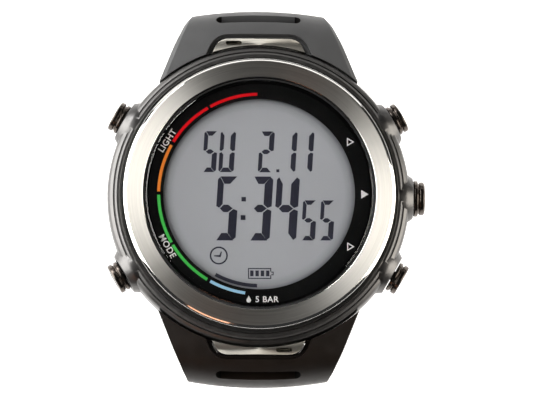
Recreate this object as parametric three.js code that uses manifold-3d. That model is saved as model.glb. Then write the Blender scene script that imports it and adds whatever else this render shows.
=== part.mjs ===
// A wrist dive computer: a round metal case with five push buttons round a digital display, a coin
// cell behind a twist-off hatch in its back, and a two-part resin strap with a tongue buckle. The
// strap hangs open, its two halves bent round the empty place of the wrist.
//
// Lengths are millimetres. The origin is the middle of the case back's outer face, +Z points out of
// the display, +Y to twelve o'clock and +X to three o'clock.
import * as THREE from "three";
import { mergeVertices } from "three/addons/utils/BufferGeometryUtils.js";
import Module from "manifold-3d";

const wasm = await Module();
wasm.setup();
const { cos, sin, sqrt, min, max, PI } = Math;
const radians = THREE.MathUtils.degToRad;

// Fits
const GAP = 0.3; // round parts that seat on or pass through each other
const FINE_GAP = 0.15; // round the seals and the small parts of a button
const ROUND = 36; // sides of the large turned parts
const SMALL_ROUND = 12; // sides of the small turned parts

// Case
const CASE_RADIUS = 25.25;
const CASE_WALL = 5.65;
const CASE_FOOT = 0.5; // height of the case's lower rim over the case back's face
const FOOT_WIDTH = 0.5;
const RIDGE_HEIGHT = 0.9; // the ridge round the bezel, over the bezel's seat
const RIDGE_WIDTH = 0.5;
const RIDGE_GAP = 0.6; // from the bezel's side out to the ridge
const BACK_LAP = 1.55; // how far the case back's edge passes the cavity's wall
const BACK_THICKNESS = 1.4;
const BACK_SEAT_GAP = 0.6; // left above the case back's edge for its gasket
const BACK_SCREW_INSET = 1; // the case back screws' axes, inside the cavity's wall
const BACK_SCREW_ANGLES = [60, 120, 240, 300];
const SCREW_HEAD_RADIUS = 1.1;
const SCREW_RADIUS = 0.6;
const SCREW_LENGTH = 5.8;
const SCREW_HEAD_DEPTH = 0.55;
const BOSS_RADIUS = 1.5;
const BOSS_OVER_SCREW = 1.6; // the boss goes on this far past the screw's end

// Battery, its hatch and what stands on it
const BATTERY_RADIUS = 10;
const BATTERY_THICKNESS = 3.2;
const HATCH_FLANGE = 1; // how far the hatch's rim stands out past its hub
const HATCH_LUG = 0.8; // how far each bayonet lug stands out past the hub
const HATCH_LUG_ANGLE = 30;
const HATCH_TWIST = 60; // turn that brings the lugs to their slots
const HATCH_DEPTH = 2.6;
const COIN_SLOT = { length: 9, width: 1.5, depth: 0.5 };
const CONTACT_SPACE = 0.9; // between the battery and the circuit board
const BOARD_THICKNESS = 0.8;
const COMPONENT_SPACE = 0.9; // between the circuit board and the backlight
const BACKLIGHT_THICKNESS = 0.6;
const LCD_THICKNESS = 1.1;
const LCD_INSET = 2.15; // display glass, inside the bezel's bore
const MODULE_INSET = 3; // circuit board and battery frame, inside the cavity's wall
const COMPONENT_HEIGHT = 0.5;
const COMPONENT_STANDOFF = 0.1;
const LEAF = { thickness: 0.2, width: 2.4, clear: 0.1 }; // clear of a stem pressed right in
const SENSOR_RADIUS = 1.7;
const BUZZER_RADIUS = 2.1;
const BUZZER_SPRING_RADIUS = 0.7;

// Bezel and crystal
const BEZEL_SHOULDER = 2.65; // from the case's side in to the bezel's side
const BEZEL_FACE_WIDTH = 3.25;
const BEZEL_HEIGHT = 3.8;
const BEZEL_SPIGOT = 1.5; // depth of the spigot in the case
const CRYSTAL_THICKNESS = 1.55;
const CRYSTAL_SINK = 0.15; // crystal's face below the bezel's
const DIAL_RING_THICKNESS = 0.4;
const DIAL_RING_WIDTH = 2.8;
const CRYSTAL_STEP = { width: 0.9, height: 0.8 }; // rebate round its inner face, for the gasket
const CRYSTAL_GROOVE = 0.45; // from the crystal's edge to the bezel

// Buttons: angles from +X, anticlockwise seen from the front
const BUTTON_DROP = 4.2; // their axes, below the top of the ridge
const BUTTONS = [
  { name: "light", angle: 150, headRadius: 2.55, headLength: 1.55 },
  { name: "mode", angle: 210, headRadius: 2.55, headLength: 1.55 },
  { name: "up", angle: 30, headRadius: 2.55, headLength: 1.55 },
  { name: "start", angle: 0, headRadius: 3.02, headLength: 1.8, step: 0.24 },
  { name: "down", angle: -30, headRadius: 2.55, headLength: 1.55 },
];
const COLLAR_RADIUS = 4.1;
const COLLAR_FACE_RADIUS = 3.4;
const COLLAR_RISE = 0.6; // the collar's face past the case's side
const BUTTON_TRAVEL = 1;
const STEM_RADIUS = 0.8;
const SPRING_RADIUS = 1.4; // middle of the wire
const SPRING_WIRE = 0.175;
const SPRING_TURNS = 4;
const SEAL_LENGTH = 0.8;
const CLIP_RADIUS = 1.6;
const CLIP_THICKNESS = 0.25;

// Strap: what it measures at its root beside the case, at its bend and along its band
const STRAP_ROOT = { at: 0, width: 32.8, thickness: 7 };
const STRAP_BEND = { at: 13.5, width: 22, thickness: 3.9 };
const STRAP_BAND = { at: 30, width: 20, thickness: 3.3 };
const TAIL_THICKNESS = 2.8;
const STRAP_CROWN = 1; // how far the outer face falls from its middle to its edges
const STRAP_BEVEL = 0.8;
const STRAP_INSET = 6.25; // the line of the strap starts this far inside the case's side
const STRAP_RISE = 0.04; // the line's start, above the top of the case's ridge
const STRAP_SLOPE = 8; // degrees that it falls outwards there
const STRAP_ARCH = 6.4; // straight stretch from there to the bend
const BEND_RADIUS = 7.2;
const BUCKLE_RUN = 22; // straight stretch that carries the keepers
const PIN_REACH = 1.65; // strap pins, from the case's side inwards
const PIN_DROP = 4.6; // their height, below the top of the case's ridge
const PIN_RADIUS = 0.75;
const PIN_HEAD = { radius: 1.5, length: 1.1, stands: 0.3 };
const NOTCH = { root: 8.9, tip: 6.9, reach: 1.7 }; // half widths, and reach past the case
const LINK_TENON = { radius: 0.55, length: 1.7, drop: 1.4 }; // drop below the strap pin
const LINK_RECESS = { x: -4.3, length: 2.6, width: 1.3, depth: 0.5 };
const LINK_DEPTH = 2.6; // the end link's inner face, below the strap pin
const GROOVE = { at: 10.6, length: 13.5, width: 1.9, depth: 0.8 };
const HOLES = { count: 8, pitch: 6.5, first: 13, radius: 1.2 };

// Buckle and keepers
const BUCKLE_BAR_RADIUS = 0.6;
const BUCKLE_END = 1.8; // strap left beyond the buckle bar
const BUCKLE_LENGTH = 14.6;
const BUCKLE_ARM = 2.4;
const BUCKLE_THICKNESS = 2.8;
const TONGUE_WIDTH = 2.4;
const KEEPER_WALL = 1.3;
const FIXED_KEEPER = { behindBar: 5.4, width: 5.5 };
const SLIDING_KEEPER = { behindBar: 12.2, width: 5 };

// Heights and radii that follow from the sizes above
const hatchHub = BATTERY_RADIUS + 0.2;
const hatchBore = hatchHub + GAP;
const neckRadius = hatchHub + HATCH_LUG + 1.6;
const batteryBase = HATCH_DEPTH + GAP;
const batteryTop = batteryBase + BATTERY_THICKNESS;
const boardBase = batteryTop + CONTACT_SPACE;
const boardTop = boardBase + BOARD_THICKNESS;
const backlightBase = boardTop + COMPONENT_SPACE;
const lcdBase = backlightBase + BACKLIGHT_THICKNESS + GAP;
const lcdTop = lcdBase + LCD_THICKNESS;
const dialBase = lcdTop + GAP;
const crystalBase = dialBase + DIAL_RING_THICKNESS + GAP;
const crystalTop = crystalBase + CRYSTAL_THICKNESS;
const bezelTop = crystalTop + CRYSTAL_SINK;
const bezelBase = bezelTop - BEZEL_HEIGHT;
const bezelSeat = bezelBase - GAP;
const ridgeTop = bezelSeat + RIDGE_HEIGHT;
const cavityRadius = CASE_RADIUS - CASE_WALL;
const bezelRadius = CASE_RADIUS - BEZEL_SHOULDER;
const bezelBore = bezelRadius - BEZEL_FACE_WIDTH;
const crystalRadius = bezelBore - CRYSTAL_GROOVE;
const dialRingRadius = crystalRadius - 0.2;
const displayRadius = dialRingRadius - DIAL_RING_WIDTH;
const lcdRadius = bezelBore - LCD_INSET;
const moduleRadius = cavityRadius - MODULE_INSET;
const backRadius = cavityRadius + BACK_LAP;
const backSeat = BACK_THICKNESS + BACK_SEAT_GAP;
const buttonLine = ridgeTop - BUTTON_DROP;
const pinHeight = ridgeTop - PIN_DROP;
const spigotRadius = cavityRadius + 1.4;
const collarFace = CASE_RADIUS + COLLAR_RISE;
const headBack = collarFace + FINE_GAP;
const recessFloor = headBack - BUTTON_TRAVEL - GAP;
const sealSeat = cavityRadius + 2;
const springFoot = sealSeat + SEAL_LENGTH + 0.4;
const stemTip = cavityRadius - 1;
const clipFace = cavityRadius - 0.4;
const pinLine = CASE_RADIUS - PIN_REACH;
const strapFace = CASE_RADIUS + 0.35;

// Finishes
const finish = (color, roughness, metalness) =>
  new THREE.MeshStandardMaterial({ color, roughness, metalness });
const BRUSHED_STEEL = finish(0xb9b8b4, 0.32, 1);
const CASE_STEEL = finish(0x8f9092, 0.25, 1);
const SPRING_STEEL = finish(0x9c9c9a, 0.35, 1);
const SCREW_STEEL = finish(0xa5a5a3, 0.3, 1);
const UPPER_RESIN = finish(0x55575a, 0.5, 0);
const LOWER_RESIN = finish(0x2a2827, 0.5, 0);
const KEEPER_RESIN = finish(0x303132, 0.5, 0);
const SEAL_RUBBER = finish(0x1b1b1c, 0.7, 0);
const CRYSTAL_GLASS = finish(0xe6ecf0, 0.03, 0);
const DIAL_BLACK = finish(0x101113, 0.45, 0);
const LCD_GLASS = finish(0xa0a3a8, 0.3, 0);
const BACKLIGHT = finish(0xd6e4dc, 0.5, 0);
const FRAME_PLASTIC = finish(0x3a3c3f, 0.55, 0);
const BOARD_GREEN = finish(0x1f5a3a, 0.5, 0);
const CHIP_BLACK = finish(0x17181a, 0.5, 0);
const GOLD = finish(0xc9a45c, 0.3, 1);

// A closed geometry as a solid, and a solid as a geometry again.
function solid(geometry) {
  const bare = geometry.clone();
  bare.deleteAttribute("normal");
  bare.deleteAttribute("uv");
  const merged = mergeVertices(bare, 1e-4);
  const vertProperties = merged.attributes.position.array;
  const triVerts = new Uint32Array(merged.index.array);
  return new wasm.Manifold(new wasm.Mesh({ numProp: 3, vertProperties, triVerts }));
}

function geometryOf(body) {
  const { vertProperties, triVerts } = body.getMesh();
  const geometry = new THREE.BufferGeometry();
  geometry.setAttribute("position", new THREE.BufferAttribute(vertProperties, 3));
  geometry.setIndex(new THREE.BufferAttribute(triVerts, 1));
  return geometry;
}

const cut = (geometry, tools) =>
  geometryOf(tools.reduce((body, tool) => body.subtract(solid(tool)), solid(geometry)));
const join = (geometry, others) =>
  geometryOf(others.reduce((body, other) => body.add(solid(other)), solid(geometry)));
const common = (geometry, other) => geometryOf(solid(geometry).intersect(solid(other)));

// A turned part about Z, from the [radius, height] corners of its half section. An outline that
// starts on the axis ends on it, and any other closes on itself.
function turned(outline, sides = ROUND) {
  const points = outline.map(([radius, height]) => new THREE.Vector2(radius, height));
  if (THREE.ShapeUtils.isClockWise(points)) points.reverse();
  if (points[0].x > 0 || points.at(-1).x > 0) points.push(points[0].clone());
  return new THREE.LatheGeometry(points, sides).rotateX(PI / 2);
}

// A ring of rectangular half section.
const ring = (inner, outer, low, high, sides = ROUND) =>
  turned([[inner, low], [outer, low], [outer, high], [inner, high]], sides);

const disc = (radius, low, high, sides = SMALL_ROUND) =>
  turned([[0, low], [radius, low], [radius, high], [0, high]], sides);
const rod = (radius, from, to, sides = SMALL_ROUND) =>
  disc(radius, from, to, sides).rotateY(PI / 2); // along X
const block = (x, y, z) =>
  new THREE.BoxGeometry(x[1] - x[0], y[1] - y[0], z[1] - z[0]).translate(
    (x[0] + x[1]) / 2,
    (y[0] + y[1]) / 2,
    (z[0] + z[1]) / 2,
  );

const plate = (shape, low, high, curveSegments = 8) =>
  new THREE.ExtrudeGeometry(shape, { depth: high - low, bevelEnabled: false, curveSegments })
    .translate(0, 0, low);

const outlineShape = (corners) =>
  new THREE.Shape(corners.map(([x, y]) => new THREE.Vector2(x, y)));

// A slot-shaped outline with round ends, its length along X.
function slotShape(length, width) {
  const shape = new THREE.Shape();
  const end = (length - width) / 2;
  shape.absarc(end, 0, width / 2, -PI / 2, PI / 2);
  shape.absarc(-end, 0, width / 2, PI / 2, 1.5 * PI);
  return shape;
}

// A sector of a ring, between two angles in degrees.
function sectorShape(inner, outer, from, to) {
  const shape = new THREE.Shape();
  shape.absarc(0, 0, outer, radians(from), radians(to));
  shape.absarc(0, 0, inner, radians(to), radians(from), true);
  return shape;
}

class Coil extends THREE.Curve {
  constructor(radius, length, turns) {
    super();
    Object.assign(this, { radius, length, turns });
  }

  getPoint(t, target = new THREE.Vector3()) {
    const angle = 2 * PI * this.turns * t;
    return target.set(this.radius * cos(angle), this.radius * sin(angle), this.length * t);
  }
}

const around = (degrees, radius) => [radius * cos(radians(degrees)), radius * sin(radians(degrees))];

// A coil spring standing on z = low.
function coilSpring(radius, wire, turns, low, high) {
  const section = outlineShape([45, 135, 225, 315].map((angle) => around(angle, wire)));
  const path = new Coil(radius, high - low - 2 * wire, turns);
  const options = { steps: turns * 9, bevelEnabled: false, extrudePath: path };
  return new THREE.ExtrudeGeometry(section, options).translate(0, 0, low + wire);
}

// The placing of a part built along +Z so that it points straight out of the case's side.
const outward = (degrees) =>
  new THREE.Matrix4()
    .makeTranslation(0, 0, buttonLine)
    .multiply(
      new THREE.Matrix4().makeRotationFromEuler(new THREE.Euler(0, PI / 2, radians(degrees), "ZYX")),
    );

const computer = new THREE.Group();

function add(name, geometry, material, placing, parent = computer) {
  const mesh = new THREE.Mesh(geometry, material);
  mesh.name = name;
  if (placing) mesh.applyMatrix4(placing);
  parent.add(mesh);
}

// Case: a turned ring open at both ends, with a collar for each button, a boss for each case back
// screw and a cross bore for each strap pin.
const caseRing = turned([
  [backRadius + GAP, CASE_FOOT],
  [backRadius + GAP + FOOT_WIDTH, CASE_FOOT],
  [CASE_RADIUS - 1.85, CASE_FOOT + 0.7], // the side rounds up from the foot
  [CASE_RADIUS - 0.45, CASE_FOOT + 2.7],
  [CASE_RADIUS, CASE_FOOT + 4.7],
  [CASE_RADIUS, ridgeTop - 2.6], // and in to the ridge
  [CASE_RADIUS - 0.35, ridgeTop - 1.3],
  [CASE_RADIUS - 1.25, ridgeTop - 0.4],
  [bezelRadius + RIDGE_GAP + RIDGE_WIDTH, ridgeTop],
  [bezelRadius + RIDGE_GAP, ridgeTop],
  [bezelRadius + RIDGE_GAP - 0.2, bezelSeat],
  [spigotRadius + GAP, bezelSeat],
  [spigotRadius + GAP, bezelSeat - BEZEL_SPIGOT],
  [cavityRadius, bezelSeat - BEZEL_SPIGOT],
  [cavityRadius, backSeat],
  [backRadius + GAP, backSeat],
]);
const collarRoot = bezelRadius + RIDGE_GAP + 0.1; // inside the case's wall, outside its ridge
const collar = turned(
  [
    [0, collarRoot],
    [COLLAR_RADIUS, collarRoot],
    [COLLAR_RADIUS, collarFace - 0.9],
    [COLLAR_FACE_RADIUS, collarFace],
    [0, collarFace],
  ],
  20,
);
const collars = BUTTONS.map(({ angle }) => collar.clone().applyMatrix4(outward(angle)));
const screwCircle = cavityRadius - BACK_SCREW_INSET;
const screwPlaces = BACK_SCREW_ANGLES.map((angle) => around(angle, screwCircle));
const screwBosses = screwPlaces.map(([x, y]) =>
  disc(BOSS_RADIUS, backSeat, SCREW_LENGTH + BOSS_OVER_SCREW).translate(x, y, 0),
);
const screwBores = screwPlaces.map(([x, y]) =>
  disc(SCREW_RADIUS + GAP, 0, SCREW_LENGTH + GAP).translate(x, y, 0),
);
const springBore = SPRING_RADIUS + SPRING_WIRE + GAP;
const buttonBores = BUTTONS.map(({ headRadius, angle }) =>
  turned([
    [0, stemTip],
    [STEM_RADIUS + GAP, stemTip],
    [STEM_RADIUS + GAP, sealSeat],
    [springBore, sealSeat],
    [springBore, recessFloor],
    [headRadius + GAP, recessFloor],
    [headRadius + GAP, collarFace + 1],
    [0, collarFace + 1],
  ], SMALL_ROUND).applyMatrix4(outward(angle)),
);
const pinBore = rod(PIN_RADIUS + GAP, -CASE_RADIUS, CASE_RADIUS).translate(0, pinLine, pinHeight);
const caseBody = cut(join(caseRing, [...collars, ...screwBosses]), [
  ...screwBores,
  ...buttonBores,
  pinBore,
  pinBore.clone().rotateZ(PI),
]);
add("case_body", caseBody, CASE_STEEL);

// Bezel and crystal. The bezel's spigot is pressed into the case over a seal, and its ledge
// carries the dial ring and the crystal.
const spigotEnd = bezelSeat - BEZEL_SPIGOT + GAP;
const spigotGroove = { depth: 0.5, low: spigotEnd + 0.4, high: spigotEnd + 1.1 };
const ledgeRadius = lcdRadius + 0.7;
const ledgeTop = dialBase - GAP;
const ledgeBase = ledgeTop - 0.5;
const bezelOutline = [
  [cavityRadius + GAP, spigotEnd],
  [spigotRadius, spigotEnd],
  [spigotRadius, spigotGroove.low],
  [spigotRadius - spigotGroove.depth, spigotGroove.low],
  [spigotRadius - spigotGroove.depth, spigotGroove.high],
  [spigotRadius, spigotGroove.high],
  [spigotRadius, bezelBase],
  [bezelRadius, bezelBase],
  [bezelRadius, bezelTop - 0.5],
  [bezelRadius - 0.15, bezelTop - 0.15],
  [bezelRadius - 0.5, bezelTop],
  [bezelBore, bezelTop],
  [bezelBore, ledgeTop],
  [ledgeRadius, ledgeTop],
  [ledgeRadius, ledgeBase],
  [cavityRadius + GAP, ledgeBase - 0.5],
];
add("bezel", turned(bezelOutline), BRUSHED_STEEL);
const bezelGasket = ring(
  spigotRadius - spigotGroove.depth + FINE_GAP,
  spigotRadius + FINE_GAP,
  spigotGroove.low + 0.1,
  spigotGroove.high - 0.1,
);
add("bezel_gasket", bezelGasket, SEAL_RUBBER);
const stepRadius = crystalRadius - CRYSTAL_STEP.width;
const stepTop = crystalBase + CRYSTAL_STEP.height;
const crystalOutline = [
  [0, crystalBase],
  [stepRadius, crystalBase],
  [stepRadius, stepTop],
  [crystalRadius, stepTop],
  [crystalRadius, crystalTop - 0.25],
  [crystalRadius - 0.25, crystalTop],
  [0, crystalTop],
];
add("crystal", turned(crystalOutline), CRYSTAL_GLASS);
const crystalGasket = ring(
  stepRadius + GAP,
  bezelBore - FINE_GAP,
  crystalBase,
  stepTop - GAP,
);
add("crystal_gasket", crystalGasket, SEAL_RUBBER);
const dialRing = ring(
  displayRadius,
  dialRingRadius,
  dialBase,
  dialBase + DIAL_RING_THICKNESS,
);
add("dial_ring", dialRing, DIAL_BLACK);

// Display module: the display glass and its backlight stand on the circuit board, joined to it by
// two rubber connector strips outside the backlight's flats.
const connectorLine = lcdRadius - 2.8;
const connectorWidth = 1.6;
const connectorLength = 16;
const withFlats = (radius, halfWidth, low, high) =>
  common(
    disc(radius, low, high, ROUND),
    block([-radius - 1, radius + 1], [-halfWidth, halfWidth], [low - 1, high + 1]),
  );
add("lcd_panel", withFlats(lcdRadius, lcdRadius - 0.9, lcdBase, lcdTop), LCD_GLASS);
const backlight = withFlats(
  lcdRadius - 2,
  connectorLine - connectorWidth / 2 - GAP,
  backlightBase,
  backlightBase + BACKLIGHT_THICKNESS,
);
add("backlight_panel", backlight, BACKLIGHT);
for (const [name, side] of [["upper", 1], ["lower", -1]]) {
  const strip = block(
    [-connectorLength / 2, connectorLength / 2],
    [-connectorWidth / 2, connectorWidth / 2],
    [boardTop + FINE_GAP, lcdBase - FINE_GAP],
  ).translate(0, side * connectorLine, 0);
  add(`lcd_connector_${name}`, strip, SEAL_RUBBER);
}

// Circuit board with its chip and quartz can, and the stamped plate under it whose five leaves the
// button stems push.
add("circuit_board", disc(moduleRadius, boardBase, boardTop, ROUND), BOARD_GREEN);
const componentFoot = boardTop + COMPONENT_STANDOFF;
const componentTop = componentFoot + COMPONENT_HEIGHT;
add("controller_chip", block([-5, 2], [-3.5, 3.5], [componentFoot, componentTop]), CHIP_BLACK);
const quartzCan = plate(slotShape(3.4, 1.5), componentFoot, componentTop, 4);
add("quartz_can", quartzCan.translate(6.5, 2, 0), SCREW_STEEL);
const leafTop = boardBase - GAP;
const leafBase = leafTop - LEAF.thickness;
const leafFace = stemTip - BUTTON_TRAVEL - LEAF.clear;
const leafSides = [-LEAF.width / 2, LEAF.width / 2];
const leaves = BUTTONS.map(({ angle }) =>
  join(block([moduleRadius - 0.4, leafFace], leafSides, [leafBase, leafTop]), [
    block([leafFace - LEAF.thickness, leafFace], leafSides, [buttonLine - STEM_RADIUS, leafTop]),
  ]).rotateZ(radians(angle)),
);
const contactRing = ring(moduleRadius - 0.8, moduleRadius, leafBase, leafTop);
add("contact_plate", join(contactRing, leaves), GOLD);

// Battery in its plastic frame, with the sprung strip that meets its inner face.
const sensorPlace = [0, neckRadius + SENSOR_RADIUS + 0.6];
const buzzerPlace = [0, -neckRadius - BUZZER_RADIUS - GAP];
const buzzerSpringPlace = [0, -neckRadius - BUZZER_SPRING_RADIUS - 0.9];
const frameTop = leafBase - GAP;
const moduleFrame = cut(
  ring(BATTERY_RADIUS + 0.5, moduleRadius, batteryBase, frameTop),
  [
    disc(SENSOR_RADIUS + GAP, 0, frameTop + 1).translate(...sensorPlace, 0),
    disc(BUZZER_SPRING_RADIUS + 0.5, 0, frameTop + 1).translate(...buzzerSpringPlace, 0),
  ],
);
add("module_frame", moduleFrame, FRAME_PLASTIC);
const batteryOutline = [
  [0, batteryBase],
  [BATTERY_RADIUS - 0.3, batteryBase],
  [BATTERY_RADIUS, batteryBase + 0.3],
  [BATTERY_RADIUS, batteryTop - 0.3],
  [BATTERY_RADIUS - 1.1, batteryTop - 0.3],
  [BATTERY_RADIUS - 1.3, batteryTop],
  [0, batteryTop],
];
add("battery", turned(batteryOutline, 32), SCREW_STEEL);
const stripThickness = 0.2;
const contactStrip = outlineShape([
  [-5, boardBase - GAP],
  [0, batteryTop + GAP + stripThickness],
  [5, boardBase - GAP],
  [5, boardBase - GAP - stripThickness],
  [0, batteryTop + GAP],
  [-5, boardBase - GAP - stripThickness],
]);
add("battery_contact", plate(contactStrip, -1.5, 1.5).rotateX(PI / 2), GOLD);

// Pressure sensor over its port in the case back, and the buzzer disc with its spring contact.
const sealTop = BACK_THICKNESS + 0.65;
const sensorSeal = ring(0.95, SENSOR_RADIUS - 0.1, BACK_THICKNESS + FINE_GAP, sealTop, SMALL_ROUND);
add("pressure_sensor_seal", sensorSeal.translate(...sensorPlace, 0), SEAL_RUBBER);
const sensorOutline = [
  [0, sealTop + FINE_GAP],
  [SENSOR_RADIUS, sealTop + FINE_GAP],
  [SENSOR_RADIUS, frameTop - 1.2],
  [SENSOR_RADIUS - 0.5, frameTop - 0.9],
  [SENSOR_RADIUS - 0.5, frameTop],
  [0, frameTop],
];
add("pressure_sensor", turned(sensorOutline, SMALL_ROUND).translate(...sensorPlace, 0), SCREW_STEEL);
const buzzerTop = BACK_THICKNESS + 0.4;
const buzzer = disc(BUZZER_RADIUS, BACK_THICKNESS + 0.1, buzzerTop, 20);
add("buzzer_disc", buzzer.translate(...buzzerPlace, 0), GOLD);
const buzzerSpring = coilSpring(BUZZER_SPRING_RADIUS, 0.12, 5, buzzerTop + 0.2, boardBase - 0.1);
add("buzzer_spring", buzzerSpring.translate(...buzzerSpringPlace, 0), GOLD);

// Case back: a plate with a neck round the hatch opening. The hatch's lugs pass the neck's slots
// and turn over its flange.
const flangeLow = 1.1;
const flangeTop = BACK_THICKNESS + 0.3;
const hatchRim = hatchHub + HATCH_FLANGE;
const gasketGroove = [backRadius - 1, backRadius - 0.3];
const backOutline = [
  [hatchBore, flangeLow],
  [hatchRim + GAP, flangeLow],
  [hatchRim + GAP, 0],
  [backRadius - 0.3, 0],
  [backRadius, 0.3],
  [backRadius, BACK_THICKNESS],
  [gasketGroove[1], BACK_THICKNESS],
  [gasketGroove[1], BACK_THICKNESS - 0.45],
  [gasketGroove[0], BACK_THICKNESS - 0.45],
  [gasketGroove[0], BACK_THICKNESS],
  [neckRadius, BACK_THICKNESS],
  [neckRadius, flangeTop],
  [hatchBore, flangeTop],
];
const lugAngles = [0, 120, 240];
const lugRadius = hatchHub + HATCH_LUG;
const lugSlots = lugAngles.map((angle) => {
  const middle = angle + HATCH_TWIST;
  const half = HATCH_LUG_ANGLE / 2 + 3;
  const sector = sectorShape(hatchHub - 1, lugRadius + GAP, middle - half, middle + half);
  return plate(sector, flangeLow - 1, flangeTop + 1);
});
const headRecess = FINE_GAP + SCREW_HEAD_DEPTH + FINE_GAP;
const headRecesses = screwPlaces.map(([x, y]) =>
  disc(SCREW_HEAD_RADIUS + GAP, -1, headRecess).translate(x, y, 0),
);
const screwHoles = screwPlaces.map(([x, y]) =>
  disc(SCREW_RADIUS + GAP, -1, BACK_THICKNESS + 1).translate(x, y, 0),
);
const sensorPort = disc(0.8, -1, BACK_THICKNESS + 1).translate(...sensorPlace, 0);
add(
  "case_back",
  cut(turned(backOutline), [...lugSlots, ...headRecesses, ...screwHoles, sensorPort]),
  BRUSHED_STEEL,
);
const backGasket = ring(
  gasketGroove[0] + 0.1,
  gasketGroove[1] - 0.1,
  BACK_THICKNESS - 0.25,
  BACK_THICKNESS + 0.4,
);
add("case_back_gasket", backGasket, SEAL_RUBBER);
const driveSlot = block([-SCREW_HEAD_RADIUS, SCREW_HEAD_RADIUS], [-0.15, 0.15], [0, 0.4]);
const backScrew = cut(
  turned([
    [0, FINE_GAP],
    [SCREW_HEAD_RADIUS - 0.15, FINE_GAP],
    [SCREW_HEAD_RADIUS, FINE_GAP + 0.15],
    [SCREW_HEAD_RADIUS, FINE_GAP + SCREW_HEAD_DEPTH],
    [SCREW_RADIUS, FINE_GAP + SCREW_HEAD_DEPTH],
    [SCREW_RADIUS, SCREW_LENGTH],
    [0, SCREW_LENGTH],
  ], SMALL_ROUND),
  [driveSlot],
);
screwPlaces.forEach(([x, y], i) => {
  add(`case_back_screw_${i + 1}`, backScrew.clone().translate(x, y, 0), SCREW_STEEL);
});

// Battery hatch: a flanged disc with a coin slot, three bayonet lugs and a seal round its hub.
const hatchFace = 0.1;
const sealLow = flangeLow + 0.05;
const sealHigh = flangeTop - 0.05;
const hatchOutline = [
  [0, hatchFace],
  [hatchRim - 0.2, hatchFace],
  [hatchRim, hatchFace + 0.2],
  [hatchRim, flangeLow - GAP],
  [hatchHub, flangeLow - GAP],
  [hatchHub, sealLow - 0.1],
  [hatchHub - 0.6, sealLow - 0.1],
  [hatchHub - 0.6, sealHigh + 0.1],
  [hatchHub, sealHigh + 0.1],
  [hatchHub, HATCH_DEPTH],
  [0, HATCH_DEPTH],
];
const hatchLugs = lugAngles.map((angle) => {
  const half = HATCH_LUG_ANGLE / 2;
  const sector = sectorShape(hatchHub - 1, lugRadius, angle - half, angle + half);
  return plate(sector, flangeTop + GAP, HATCH_DEPTH, 3);
});
const coinSlot = plate(slotShape(COIN_SLOT.length, COIN_SLOT.width), -1, hatchFace + COIN_SLOT.depth);
add("battery_hatch", cut(join(turned(hatchOutline), hatchLugs), [coinSlot]), BRUSHED_STEEL);
const hatchSeal = ring(hatchHub - 0.6 + FINE_GAP, hatchBore - FINE_GAP, sealLow, sealHigh);
add("hatch_seal", hatchSeal, SEAL_RUBBER);

// Buttons: a turned head and stem, held in by a clip inside the case, pushed out by a coil spring
// and sealed by a rubber ring at the bottom of the spring's bore.
function buttonHead(radius, length, step) {
  const face = headBack + length;
  const round = 0.25;
  const rim = [[radius, headBack], [radius, face - round], [radius - round, face]];
  if (!step) return rim;
  const groove = headBack + 0.67;
  return [
    [radius, headBack],
    [radius, groove],
    [radius - 0.5, groove],
    [radius - 0.5, groove + 0.25],
    [radius - step, groove + 0.25],
    [radius - step, face - round],
    [radius - step - round, face],
  ];
}
const clipGroove = [clipFace - CLIP_THICKNESS - 0.1, clipFace + 0.1];
const clipMouth = 40; // half the angle of the clip's open side
const clipShape = sectorShape(STEM_RADIUS - 0.1, CLIP_RADIUS, clipMouth, 360 - clipMouth);
const clip = plate(clipShape, clipFace - CLIP_THICKNESS, clipFace);
for (const { name, angle, headRadius, headLength, step } of BUTTONS) {
  const head = buttonHead(headRadius, headLength, step);
  const button = turned([
    [0, stemTip],
    [STEM_RADIUS - 0.2, stemTip],
    [STEM_RADIUS, stemTip + 0.15],
    [STEM_RADIUS, clipGroove[0]],
    [STEM_RADIUS - 0.25, clipGroove[0]],
    [STEM_RADIUS - 0.25, clipGroove[1]],
    [STEM_RADIUS, clipGroove[1]],
    [STEM_RADIUS, headBack],
    ...head,
    [0, headBack + headLength],
  ], SMALL_ROUND);
  const seal = ring(
    STEM_RADIUS + FINE_GAP,
    springBore - FINE_GAP,
    sealSeat + FINE_GAP,
    sealSeat + FINE_GAP + SEAL_LENGTH,
    SMALL_ROUND,
  );
  const spring = coilSpring(SPRING_RADIUS, SPRING_WIRE, SPRING_TURNS, springFoot, headBack - 0.1);
  const placing = outward(angle);
  add(`${name}_button`, button, BRUSHED_STEEL, placing);
  add(`${name}_button_spring`, spring, SPRING_STEEL, placing);
  add(`${name}_button_seal`, seal, SEAL_RUBBER, placing);
  add(`${name}_button_clip`, clip.clone(), SPRING_STEEL, placing);
}

// Strap halves. Each half is built on the twelve o'clock side, and the lower one is turned half a
// turn about Z. The middle line of its outer face lies in the YZ plane as straight runs and arcs,
// whose headings are angles below the outward horizontal.
const rootRuns = (bendEnd) => [{ length: STRAP_ARCH }, { radius: BEND_RADIUS, to: radians(bendEnd) }];
const UPPER_RUNS = [
  ...rootRuns(92),
  { radius: 200, to: radians(100) },
  { radius: 13, to: radians(165) },
  { length: BUCKLE_RUN },
];
const LOWER_RUNS = [
  ...rootRuns(97),
  { radius: 500, to: radians(102.4) },
  { radius: 25, to: radians(180) },
  { radius: 60, to: radians(203) },
];

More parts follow.
